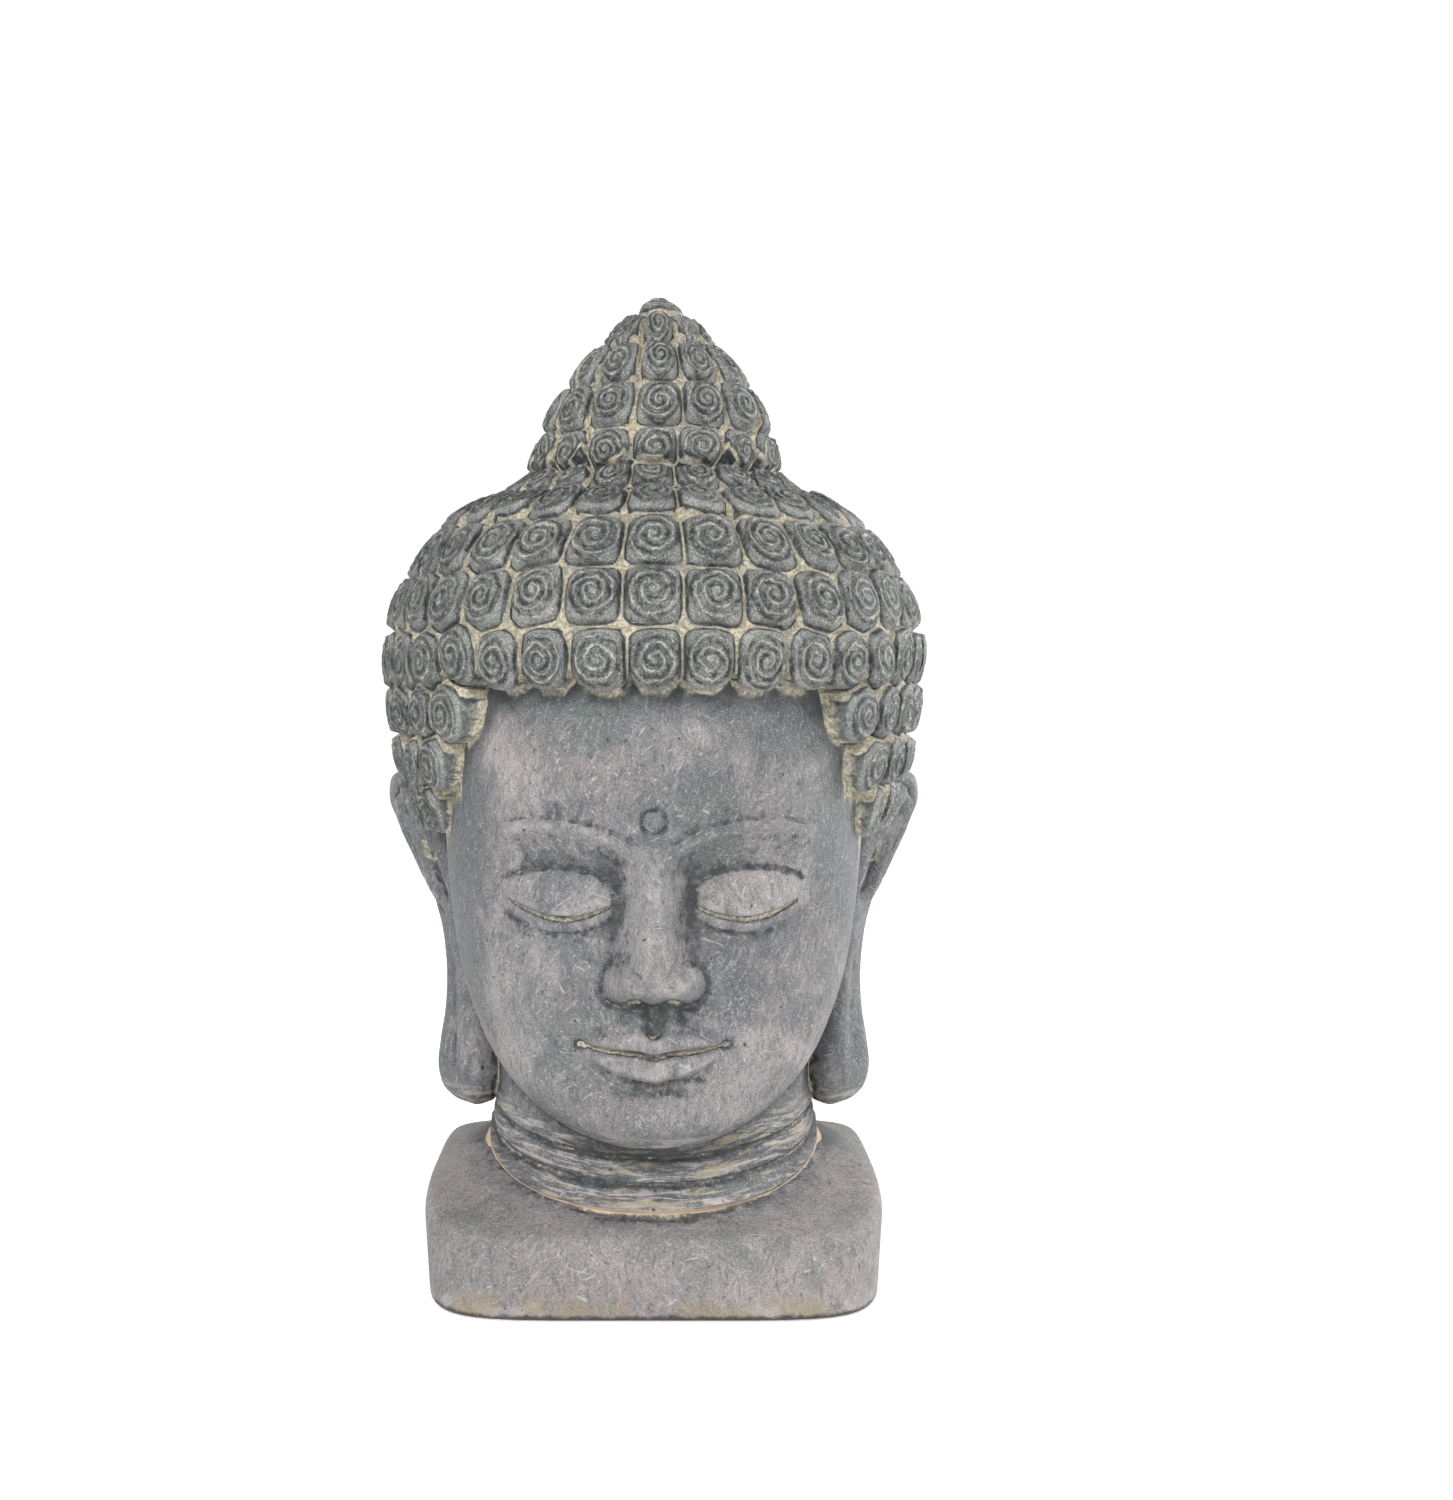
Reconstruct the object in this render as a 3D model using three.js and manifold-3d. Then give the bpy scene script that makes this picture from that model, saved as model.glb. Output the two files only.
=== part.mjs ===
// Stone buddha head: a garden bust cast in one piece with its own block.
// Millimetres, +Z up, the face looks towards -Y. The origin is the middle of the underside.

import * as THREE from 'three';
import { mergeVertices } from 'three/addons/utils/BufferGeometryUtils.js';
import Module from 'manifold-3d';

const { smoothstep, lerp, clamp, degToRad } = THREE.MathUtils;
const TURN = 2 * Math.PI;

// Overall size.
const WIDTH = 279.4;
const DEPTH = 266.7;
const HEIGHT = 469.9;

// Face, laid out in equal thirds from hairline to brow, nose and chin.
const HAIRLINE = 271;
const CHIN = 71;
const THIRD = (HAIRLINE - CHIN) / 3;
const BROW = HAIRLINE - THIRD;
const NOSE = BROW - THIRD;
const EYE = BROW - THIRD / 3;
const LIPS = NOSE - THIRD / 3;
const EYE_APART = 42;
const EYE_HALF = 24;
const MOUTH_HALF = 31;

// Hair: snail curls in rows, from the nape up to the knob on the crown.
// Each row is its height, how many curls would go all the way round, and the angle from the
// front where its first curl begins, 0 for a closed row.
const CURL_HEIGHT = 8.4;
const BOSS_SIDES = [0.15, 0.85];
const BOSS_REACH = 0.62;
const CURL_ROWS = [
  [127, 24, 100],
  [149, 26, 96],
  [171, 28, 92],
  [194, 30, 84],
  [216, 31, 54],
  [238.5, 33, 46],
  [262, 34, 39],
  [287, 34, 0],
  [313, 30, 0],
  [336, 27, 0],
  [356, 24, 0],
  [369, 20, 0],
  [386, 16, 0],
  [408, 14, 0],
  [429, 12, 0],
  [448, 8, 0],
];
const HAIR_FOOT = 116;
const HAIR_TOP = 457;
const HAIR_AXIS = 15;
const DRAWN_IN = 0.8;
const CROWN_LEAN = 2.5;

// Forms as stations: height, half width, front, back, middle of the depth, squareness.
const FACE_FORM = [
  [70, 8, 96, -82, -88, 2],
  [71.5, 24, 104, -70, -84, 2.1],
  [75, 37, 109, -56, -76, 2.2],
  [82, 52, 112, -38, -64, 2.3],
  [92, 66, 112.5, -16, -48, 2.35],
  [105, 78, 111, 12, -32, 2.4],
  [120, 86.5, 109.5, 42, -20, 2.4],
  [140, 94, 109, 72, -10, 2.35],
  [165, 99, 109, 92, -4, 2.3],
  [190, 102, 109.5, 104, 0, 2.3],
  [215, 103.5, 110.5, 110, 2, 2.3],
  [240, 103.5, 111, 113, 4, 2.3],
  [265, 102, 108.5, 112, 4, 2.25],
  [290, 97, 102, 106, 4, 2.2],
  [315, 80, 84, 88, 4, 2],
];
const SCALP_FORM = [
  [108, 60, 40, 84, 20, 2],
  [112, 80, 50, 92, 20, 2.1],
  [130, 91, 60, 99, 22, 2.1],
  [150, 98, 80, 106, 26, 2.1],
  [175, 105, 94, 114, 30, 2.1],
  [200, 112, 100, 120, 34, 2.1],
  [222, 119, 105, 124, 37, 2.1],
  [240, 125.5, 109, 126, 38, 2.1],
  [265, 129, 113, 126.5, 38, 2.1],
  [290, 131, 115, 125.5, 38, 2.1],
  [308, 128, 112.5, 121.5, 36, 2.1],
  [325, 120, 104, 113, 32, 2.1],
  [340, 109.5, 92, 101, 26, 2.05],
  [352, 98, 78, 88, 20, 2],
  [360, 83, 63, 75, 15, 2],
  [366, 69, 53, 66, 12, 2],
  [374, 59, 45, 60, 10, 2],
  [390, 53.5, 41, 55, 9, 2],
  [408, 47, 35, 49, 8, 2],
  [428, 34, 24, 37, 8, 2],
  [446, 17.5, 9, 22, 8, 2],
  [458, 7, -1, 12, 8, 2],
  [460.5, 3, -5, 9, 8, 2],
];
const NECK_FORM = [
  [28, 85, 108, 84, 0, 2],
  [38, 84.5, 107, 82, 0, 2],
  [46, 82, 103, 79, 0, 2],
  [60, 79, 93, 76, 0, 2],
  [80, 78, 86, 76, 0, 2],
  [130, 80, 60, 78, 0, 2],
];
const CHEST_FORM = [
  [0, 100.5, 115, 102, -10, 6],
  [1, 102.5, 117, 104, -10, 6],
  [4, 103.6, 118, 105, -10, 5.6],
  [12, 104.6, 118.6, 106, -10, 5.2],
  [24, 106, 118.4, 106.5, -10, 4.8],
  [36, 107.2, 116.5, 105, -10, 4.4],
  [42, 106.3, 113.5, 103, -10, 4],
  [47, 99.5, 107, 96, -8, 3.3],
  [51.5, 89.5, 100, 89, -6, 2.6],
  [56, 81, 91, 81, -4, 2.3],
  [60, 76, 83, 75, -2, 2.1],
  [64, 60, 60, 60, 0, 2],
];

// An ear from its top to the tip of its lobe: middle x, y, z, half width, thickness, and the
// turn of its face in degrees, 0 facing sideways.
const EAR_FORM = [
  [114.5, 25, 233, 6, 4, 30],
  [119.5, 25, 230, 17, 6, 31],
  [122.5, 24, 224.5, 24, 7, 33],
  [121.5, 23, 214, 27.5, 7.5, 33],
  [117, 21, 202, 28, 7.5, 31],
  [110, 18, 187, 25, 7.5, 29],
  [103.5, 14, 170, 20, 7.5, 26],
  [98, 8, 152, 15.5, 7.5, 24],
  [94.5, 2, 132, 13.5, 8, 27],
  [92.5, -4, 113, 15, 9, 32],
  [92, -8, 98, 17.5, 10, 38],
  [91.5, -9, 86, 18.5, 11, 42],
  [90.5, -9, 76.5, 16.5, 10.5, 44],
  [89, -9, 70.5, 11, 8, 44],
  [88, -9, 67.5, 4, 3, 44],
];

function bell(x, width) {
  return Math.exp(-((x / width) ** 2));
}

// A smooth curve through points [x, y] that never overshoots them.
function curve(points, x) {
  const last = points.length - 1;
  const at = clamp(x, points[0][0], points[last][0]);
  let i = 0;
  while (i < last - 1 && points[i + 1][0] < at) i += 1;
  const slope = (k) => (points[k + 1][1] - points[k][1]) / (points[k + 1][0] - points[k][0]);
  const tangent = (k) => {
    if (k === 0) return slope(0);
    if (k === last) return slope(last - 1);
    const product = slope(k - 1) * slope(k);
    return product > 0 ? (2 * product) / (slope(k - 1) + slope(k)) : 0;
  };
  const step = points[i + 1][0] - points[i][0];
  const t = (at - points[i][0]) / step;
  return (
    (2 * t ** 3 - 3 * t ** 2 + 1) * points[i][1] +
    (t ** 3 - 2 * t ** 2 + t) * step * tangent(i) +
    (3 * t ** 2 - 2 * t ** 3) * points[i + 1][1] +
    (t ** 3 - t ** 2) * step * tangent(i + 1)
  );
}

// The station of a form at any height.
function stationAt(form, z) {
  return form[0].map((_, k) => (k === 0 ? z : curve(form.map((s) => [s[0], s[k]]), z)));
}

// The point of a station's rounded section at an angle from the front.
function sectionPoint([z, half, front, back, middle, square], angle) {
  const c = Math.cos(angle);
  const s = Math.sin(angle);
  const reach = c > 0 ? -(front + middle) : back - middle;
  const x = half * Math.sign(s) * Math.abs(s) ** (2 / square);
  return new THREE.Vector3(x, middle + reach * Math.abs(c) ** (2 / square), z);
}

// The point of a station's section at a distance x from the middle, on the front side.
function frontPoint([z, half, front, , middle, square], x) {
  const y = middle - (front + middle) * (1 - Math.abs(x / half) ** square) ** (1 / square);
  return new THREE.Vector3(x, y, z);
}

// A ring's point, with its place round the ring, which says what it is joined to.
function ringPoint(place, point) {
  return { place, point };
}

// A closed solid from rings of points, stacked from the bottom up, with flat ends. Neighbouring
// rings may differ in their number of points.
function stackedSolid(rings) {
  const positions = [];
  const faces = [];
  const add = (p) => positions.push(p.x, p.y, p.z) / 3 - 1;
  const numbered = rings.map((ring) => ring.map(({ place, point }) => ({ place, id: add(point) })));
  const placeOf = (ring, k) => ring[k % ring.length].place + (k >= ring.length ? TURN : 0);
  for (let r = 0; r + 1 < rings.length; r += 1) {
    const low = numbered[r];
    const high = numbered[r + 1];
    let i = 0;
    let j = 0;
    while (i < low.length || j < high.length) {
      const a = low[i % low.length].id;
      const b = high[j % high.length].id;
      const nextLow = i < low.length ? placeOf(low, i + 1) : Infinity;
      const nextHigh = j < high.length ? placeOf(high, j + 1) : Infinity;
      if (nextLow <= nextHigh) {
        i += 1;
        faces.push(a, low[i % low.length].id, b);
      } else {
        j += 1;
        faces.push(a, high[j % high.length].id, b);
      }
    }
  }
  const cap = (ring, source, up) => {
    const middle = new THREE.Vector3();
    source.forEach(({ point }) => middle.addScaledVector(point, 1 / source.length));
    const hub = add(middle);
    ring.forEach(({ id }, k) => {
      const next = ring[(k + 1) % ring.length].id;
      faces.push(...(up ? [id, next, hub] : [next, id, hub]));
    });
  };
  cap(numbered[0], rings[0], false);
  cap(numbered.at(-1), rings.at(-1), true);
  const geometry = new THREE.BufferGeometry();
  geometry.setAttribute('position', new THREE.Float32BufferAttribute(positions, 3));
  geometry.setIndex(faces);
  return geometry;
}

// Evenly numbered places round a ring of so many points.
function evenAngles(count) {
  return Array.from({ length: count }, (_, k) => (k * TURN) / count);
}

function browHeight(x) {
  return BROW - 8 + 17 * Math.sin(clamp((x + 1) / 82, 0, 1) * Math.PI * 0.84) ** 0.9;
}

// How far the features stand in front of the plain oval of the face.
function faceRelief(x, z) {
  const ax = Math.abs(x);
  const below = browHeight(ax) - z;
  let out = 1.7 * bell(below - 0.5, 3.2) * smoothstep(ax, 3, 12) * (1 - smoothstep(ax, 62, 80));

  // Socket, with the ball of the eye under its lids.
  const socket = smoothstep(below, -1, 11) * bell(z - EYE - 1, 22);
  out -= 6.5 * socket * (1 - smoothstep(ax, 50, 84)) * smoothstep(ax, 1, 20);
  const ball = 1 - ((ax - EYE_APART) / 28) ** 2 - ((z - EYE + 1) / 15) ** 2;
  out += 8.2 * Math.max(ball, 0) ** 0.8;

  // Lids, parted along a lowered line.
  const t = clamp((ax - EYE_APART + EYE_HALF) / (2 * EYE_HALF), 0, 1);
  const along = smoothstep(t, 0, 0.07) * (1 - smoothstep(t, 0.93, 1));
  const gap = EYE - 3.5 + 1.6 * t - 6.2 * Math.sin(Math.PI * t) ** 0.9 - z;
  out += gap < 0 ? 1.4 * along * bell(gap + 0.8, 5) : 0;
  out -= 2.6 * along * bell(gap - 1.6, 2.4);

  // Nose: bridge, tip, wings and nostrils.
  const bridge = [
    [NOSE - 3, 0],
    [NOSE - 0.5, 4],
    [NOSE + 2, 13.5],
    [NOSE + 5, 18.8],
    [NOSE + 9, 21.4],
    [NOSE + 14, 21.4],
    [NOSE + 24, 19.2],
    [NOSE + 44, 14.6],
    [BROW - 4, 9],
    [BROW + 8, 3.2],
    [BROW + 30, 0],
  ];
  const breadth = [
    [NOSE, 10.5],
    [NOSE + 9, 12],
    [NOSE + 24, 9.6],
    [NOSE + 44, 8.6],
    [BROW, 10.5],
    [BROW + 20, 26],
  ];
  out += curve(bridge, z) / (1 + (ax / curve(breadth, z)) ** 3.2);
  const wing = ((ax - 13.2) / 8.8) ** 2 + ((z - NOSE - 7.2) / 9) ** 2;
  out += 8.2 * Math.max(1 - wing, 0) ** 0.7;
  out -= 4 * bell(ax - 8.4, 4.4) * bell(z - NOSE - 1.2, 2.6);

  // Mouth and the swelling it sits on.
  const s = clamp(ax / MOUTH_HALF, 0, 1);
  const line = LIPS - 0.5 + 2.6 * s ** 2.2;
  const upper = 7.8 * (1 - s ** 2) ** 0.8;
  const lower = 10.8 * (1 - s ** 2.4) ** 0.75;
  const over = z - line;
  const lip = 1 - smoothstep(ax / MOUTH_HALF, 0.93, 1.05);
  out += 4.6 * bell(ax, 34) * bell(z - LIPS + 1, 23);
  out += lip * smoothstep(over, 0, 1.6) * (1 - smoothstep(over - upper, -1, 1.8)) * 2.6;
  out += lip * smoothstep(-over, 0, 1.8) * (1 - smoothstep(-over - lower, -1.8, 1.8)) * (3.8 - 3.2 * s ** 2);
  out -= 2.2 * bell(over, 1.5) * (1 - smoothstep(ax / MOUTH_HALF, 0.95, 1.12));
  out -= 2.2 * bell(ax - MOUTH_HALF - 1.5, 4.5) * bell(z - LIPS - 2.2, 4.2);

  // Hollow under the lip, chin, cheeks, and the round mark between the brows.
  out -= 3 * bell(z - LIPS + 17.5, 5.5) * bell(ax, 22);
  out += 3.4 * bell(z - CHIN - 15, 12) * bell(ax, 21);
  out += 3.4 * bell(ax - 50, 28) * bell(z - 152, 30);
  out += 1.5 * bell(Math.hypot(x, z - BROW - 11), 4.5);
  return out;
}

// The skull and face. Rows and columns are closest where the features are.
function faceSolid() {
  const rows = [
    70, 72.5, 77, 84, 91, 97, 101.5, 105.5, 109, 112, 114.7, 117.2, 120.5, 125, 131, 136, 138.5,
    141.5, 146, 153, 162, 167, 170, 172.3, 174.6, 178, 182.5, 187.5, 192.5, 197.5, 203, 208, 213,
    220, 235, 254, 274, 292,
  ];
  const columns = [3.5, 8, 12.5, 17, 22, 28, 34, 41, 48, 55, 62, 69, 78, 88];
  const behind = [90, 125, 180, 235, 270];
  return stackedSolid(
    rows.map((z) => {
      const station = stationAt(FACE_FORM, z);
      const narrowing = Math.min(1, station[1] / 96);
      const carved = (x) => {
        const point = frontPoint(station, x * narrowing);
        point.y -= faceRelief(point.x, z) * smoothstep(-point.y, 0, 35);
        return point;
      };
      const right = columns.map(carved);
      const left = columns.map((x) => carved(-x)).reverse();
      const back = behind.map((angle) => sectionPoint(station, degToRad(angle)));
      const ring = [carved(0), ...right, ...back, ...left];
      return ring.map((point, k) => ringPoint((k * TURN) / ring.length, point));
    }),
  );
}

// A point of the scalp, raised by a curl's height or drawn in behind the face.
function scalpPoint(angle, z, height, drawnIn) {
  const at = (a, h) => sectionPoint(stationAt(SCALP_FORM, h), a);
  const point = at(angle, z);
  const sideways = at(angle + 0.01, z).sub(at(angle - 0.01, z));
  const upwards = at(angle, z + 0.5).sub(at(angle, z - 0.5));
  point.addScaledVector(sideways.cross(upwards).normalize(), height);
  if (drawnIn) {
    point.x *= DRAWN_IN;
    point.y = HAIR_AXIS + (point.y - HAIR_AXIS) * DRAWN_IN;
  }
  point.x += CROWN_LEAN * smoothstep(z, 360, 430);
  return point;
}

// The angles of the valleys between a row's curls, evenly spaced along the scalp.
function valleyAngles([z, count, open]) {
  const fine = evenAngles(360);
  const station = stationAt(SCALP_FORM, z);
  const lengths = [0];
  fine.forEach((angle, k) => {
    const chord = sectionPoint(station, angle).distanceTo(sectionPoint(station, angle + TURN / 360));
    lengths.push(lengths[k] + chord);
  });
  const total = lengths.at(-1);
  const angleAt = (length) => {
    const k = lengths.findIndex((reached) => reached > length) - 1;
    return ((k + (length - lengths[k]) / (lengths[k + 1] - lengths[k])) * TURN) / 360;
  };
  const pitch = total / count;
  if (open === 0) return Array.from({ length: count }, (_, k) => angleAt((k + 0.5) * pitch));
  const first = lengths[open];
  const curls = Math.round((total - 2 * first) / pitch);
  const step = (total - 2 * first) / curls;
  return Array.from({ length: curls + 1 }, (_, k) => angleAt(first + k * step));
}

// Points of an open row's ring that run inside the head, in front of its first curl.
function innerPoints(open, z, side) {
  const fractions = side > 0 ? [0, 0.5, 0.96] : [0.96, 0.5];
  return fractions.map((fraction) => {
    const angle = side * fraction * degToRad(open);
    return ringPoint(angle < 0 ? angle + TURN : angle, scalpPoint(angle, z, 0, true));
  });
}

// A ring along the bottom or top of a row, or across its curls.
function curlRing(row, valleys, z, height) {
  const open = row[2];
  const points = [];
  valleys.forEach((angle, k) => {
    points.push(ringPoint(angle, scalpPoint(angle, z, 0, false)));
    const next = k + 1 < valleys.length ? valleys[k + 1] : valleys[0] + TURN;
    if (height === 0 || (open > 0 && k + 1 === valleys.length)) return;
    BOSS_SIDES.forEach((share) => {
      const place = lerp(angle, next, share);
      points.push(ringPoint(place, scalpPoint(place, z, height, false)));
    });
  });
  const inner = (side) => (open > 0 ? innerPoints(open, z, side) : []);
  const ring = [...inner(1), ...points, ...inner(-1)];
  return ring.map(({ place, point }) => ringPoint(place % TURN, point)).sort((a, b) => a.place - b.place);
}

// The hair: every row of curls between its two valleys, closed below inside the neck and above
// by the knob's last curl.
function hairSolid() {
  const rings = [];
  const foot = evenAngles(24).map((angle) => ringPoint(angle, scalpPoint(angle, HAIR_FOOT - 2, 0, true)));
  rings.push(foot);
  CURL_ROWS.forEach((row, k) => {
    const valleys = valleyAngles(row);
    const below = k > 0 ? (CURL_ROWS[k - 1][0] + row[0]) / 2 : HAIR_FOOT;
    const above = k + 1 < CURL_ROWS.length ? (CURL_ROWS[k + 1][0] + row[0]) / 2 : HAIR_TOP;
    rings.push(curlRing(row, valleys, below, 0));
    rings.push(curlRing(row, valleys, lerp(row[0], below, BOSS_REACH), CURL_HEIGHT));
    rings.push(curlRing(row, valleys, lerp(row[0], above, BOSS_REACH), CURL_HEIGHT));
    const nextIsClosed = k + 1 < CURL_ROWS.length && CURL_ROWS[k + 1][2] === 0;
    if (row[2] > 0 && nextIsClosed) rings.push(curlRing(row, valleys, above - 2, 0));
  });
  [[458.5, 8], [463, 9], [468.5, 5.5]].forEach(([z, radius]) => {
    rings.push(
      evenAngles(8).map((angle) => {
        const x = CROWN_LEAN + radius * Math.sin(angle);
        return ringPoint(angle, new THREE.Vector3(x, 8 - radius * Math.cos(angle), z));
      }),
    );
  });
  return stackedSolid(rings);
}

// The neck, with three soft folds that rise towards the back.
function neckSolid() {
  const folds = [[44.5, 1.6], [55, 1.6], [66, 1.3]];
  const rows = [30, 40, 44.5, 49.5, 54.5, 60.5, 66, 72, 80, 110];
  return stackedSolid(
    rows.map((row) =>
      evenAngles(26).map((angle) => {
        const point = sectionPoint(stationAt(NECK_FORM, row), angle);
        let swell = 0;
        folds.forEach(([fold, depth]) => {
          swell += 0.7 * bell(row - fold - 5.5, 4) - depth * bell(row - fold, 2);
        });
        const radius = Math.hypot(point.x, point.y);
        point.x *= 1 + swell / radius;
        point.y *= 1 + swell / radius;
        point.z += 8 * (1 - Math.cos(angle)) - 3;
        return ringPoint(angle, point);
      }),
    ),
  );
}

// The chest block, its top falling away to the front.
function chestSolid() {
  const rows = [0, 1, 4, 12, 24, 34, 40, 44, 48, 52, 57, 64];
  return stackedSolid(
    rows.map((row) =>
      evenAngles(34).map((angle) => {
        const point = sectionPoint(stationAt(CHEST_FORM, row), angle);
        const front = 11 * smoothstep(Math.cos(angle), -0.1, 1);
        const back = 18 * smoothstep(-Math.cos(angle), -0.1, 1);
        point.z -= smoothstep(row, 24, 58) * (front + back);
        return ringPoint(angle, point);
      }),
    ),
  );
}

// How far an ear's outer face stands out or in, at a place across it and a share of its bowl.
function earRelief(across, share) {
  const bowl = Math.hypot(across / 0.8, (share - 0.5) / 0.5);
  const fold = Math.hypot((across + 0.12) / 0.6, (share - 0.44) / 0.42) - 0.62;
  const flap = Math.hypot((across + 0.75) / 0.22, (share - 0.3) / 0.16);
  const rise = 3.6 * bell(fold, 0.2) * smoothstep(across + share * 0.5, -0.25, 0.1);
  return rise + 2 * bell(flap, 1) - 6 * (1 - smoothstep(bowl, 0.62, 1));
}

// A long ear with a hollow bowl above and a hanging lobe below. Side is 1 or -1.
function earSolid(side) {
  const bowlFoot = 150;
  const bowlHeight = 78;
  const sides = 12;
  const rings = EAR_FORM.map(([x, y, z, half, thick, turned]) => {
    const turn = degToRad(turned);
    const across = new THREE.Vector3(Math.sin(turn), Math.cos(turn), 0);
    const outward = new THREE.Vector3(Math.cos(turn), -Math.sin(turn), 0);
    return evenAngles(sides).map((angle) => {
      const c = Math.cos(angle);
      const s = Math.sin(angle);
      const u = Math.sign(c) * Math.abs(c) ** 0.7;
      const rooted = s < 0 ? 1 + 1.4 * smoothstep(z, 150, 190) : 1;
      const depth = thick * rooted * Math.sign(s) * Math.abs(s) ** 0.7;
      const relief = earRelief(u, (z - bowlFoot) / bowlHeight) * clamp(s * 1.6, 0, 1);
      const point = new THREE.Vector3(x, y, z).addScaledVector(across, half * u);
      point.addScaledVector(outward, depth + relief);
      point.x *= side;
      return point;
    });
  });
  const turnedRings = side > 0 ? rings : rings.map((ring) => ring.reverse());
  return stackedSolid(
    turnedRings.map((ring) => ring.map((point, k) => ringPoint((k * TURN) / sides, point))),
  );
}

const wasm = await Module();
wasm.setup();

function toManifold(geometry) {
  const merged = mergeVertices(geometry);
  return new wasm.Manifold(
    new wasm.Mesh({
      numProp: 3,
      vertProperties: new Float32Array(merged.attributes.position.array),
      triVerts: new Uint32Array(merged.index.array),
    }),
  );
}

function toGeometry(manifold) {
  const mesh = manifold.getMesh();
  const geometry = new THREE.BufferGeometry();
  geometry.setAttribute('position', new THREE.BufferAttribute(new Float32Array(mesh.vertProperties), 3));
  geometry.setIndex(new THREE.BufferAttribute(new Uint32Array(mesh.triVerts), 1));
  return geometry;
}

// Brings the joined form to its stated size, standing on z = 0 and centred over the origin.
function fitToSize(geometry) {
  geometry.computeBoundingBox();
  const { min, max } = geometry.boundingBox;
  geometry.translate(-(min.x + max.x) / 2, -(min.y + max.y) / 2, -min.z);
  geometry.scale(WIDTH / (max.x - min.x), DEPTH / (max.y - min.y), HEIGHT / (max.z - min.z));
  return geometry;
}

const forms = [chestSolid(), neckSolid(), faceSolid(), hairSolid(), earSolid(1), earSolid(-1)];
const joined = forms.map(toManifold).reduce((whole, form) => whole.add(form));

const castStone = new THREE.MeshStandardMaterial({ color: 0x83878a, roughness: 0.85, metalness: 0 });
const head = new THREE.Mesh(fitToSize(toGeometry(joined)), castStone);
head.name = 'buddha_head';

const group = new THREE.Group();
group.add(head);

export default group;
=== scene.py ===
import itertools
import math

import bpy
import numpy as np
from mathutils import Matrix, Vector


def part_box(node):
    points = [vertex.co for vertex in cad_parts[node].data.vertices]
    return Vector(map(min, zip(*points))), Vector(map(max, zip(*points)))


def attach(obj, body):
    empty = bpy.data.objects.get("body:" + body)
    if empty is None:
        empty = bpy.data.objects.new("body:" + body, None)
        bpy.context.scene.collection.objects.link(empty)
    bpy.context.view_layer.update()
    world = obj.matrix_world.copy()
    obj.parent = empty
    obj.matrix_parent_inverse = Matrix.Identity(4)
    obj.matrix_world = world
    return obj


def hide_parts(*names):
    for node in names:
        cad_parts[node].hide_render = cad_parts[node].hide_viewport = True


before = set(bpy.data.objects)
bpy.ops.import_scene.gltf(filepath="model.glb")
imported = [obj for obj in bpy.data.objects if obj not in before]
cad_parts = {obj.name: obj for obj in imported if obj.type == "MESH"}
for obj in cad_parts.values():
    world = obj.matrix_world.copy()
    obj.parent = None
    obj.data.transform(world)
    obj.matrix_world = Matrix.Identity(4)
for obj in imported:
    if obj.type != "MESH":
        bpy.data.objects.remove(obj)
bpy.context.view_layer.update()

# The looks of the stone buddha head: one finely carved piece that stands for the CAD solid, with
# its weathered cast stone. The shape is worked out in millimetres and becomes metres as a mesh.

NODE = "buddha_head"
MM = 0.001
TURN = 2 * math.pi

# Face, laid out in equal thirds from hairline to brow, nose and chin.
HAIRLINE = 271.0
CHIN = 71.0
THIRD = (HAIRLINE - CHIN) / 3
BROW = HAIRLINE - THIRD
NOSE = BROW - THIRD
EYE = BROW - THIRD / 3
LIPS = NOSE - THIRD / 3
EYE_APART = 42.0
EYE_HALF = 24.0
MOUTH_HALF = 31.0

# Hair: height of each row, how many curls would go all the way round, and the angle from the
# front where its first curl begins, 0 for a closed row.
CURL_ROWS = [
    (127.0, 24, 100),
    (149.0, 26, 96),
    (171.0, 28, 92),
    (194.0, 30, 84),
    (216.0, 31, 54),
    (238.5, 33, 46),
    (262.0, 34, 39),
    (287.0, 34, 0),
    (313.0, 30, 0),
    (336.0, 27, 0),
    (356.0, 24, 0),
    (369.0, 20, 0),
    (386.0, 16, 0),
    (408.0, 14, 0),
    (429.0, 12, 0),
    (448.0, 8, 0),
]
FOREHEAD_ROW = 287.0
CURL_HEIGHT = 7.0
CURL_DOME = 1.3
CURL_RIM = 0.8
CURL_SQUARENESS = 2.7
HANGING_SQUARENESS = 2.0
CURL_SEED = 7
VALLEY_FLOOR = 3.4
SPIRAL_DEPTH = 1.3
HAIR_AXIS = 15.0
DRAWN_IN = 0.8
CROWN_LEAN = 2.5
CROWN_Y = 8.0
KNOB_FOOT = 452.0
KNOB_HEIGHT = 18.5

# Forms as stations: height, half width, front, back, middle of the depth, squareness.
FACE_FORM = [
    (70, 8, 96, -82, -88, 2),
    (71.5, 24, 104, -70, -84, 2.1),
    (75, 37, 109, -56, -76, 2.2),
    (82, 52, 112, -38, -64, 2.3),
    (92, 66, 112.5, -16, -48, 2.35),
    (105, 78, 111, 12, -32, 2.4),
    (120, 86.5, 109.5, 42, -20, 2.4),
    (140, 94, 109, 72, -10, 2.35),
    (165, 99, 109, 92, -4, 2.3),
    (190, 102, 109.5, 104, 0, 2.3),
    (215, 103.5, 110.5, 110, 2, 2.3),
    (240, 103.5, 111, 113, 4, 2.3),
    (265, 102, 108.5, 112, 4, 2.25),
    (290, 97, 102, 106, 4, 2.2),
    (315, 80, 84, 88, 4, 2),
]
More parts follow.
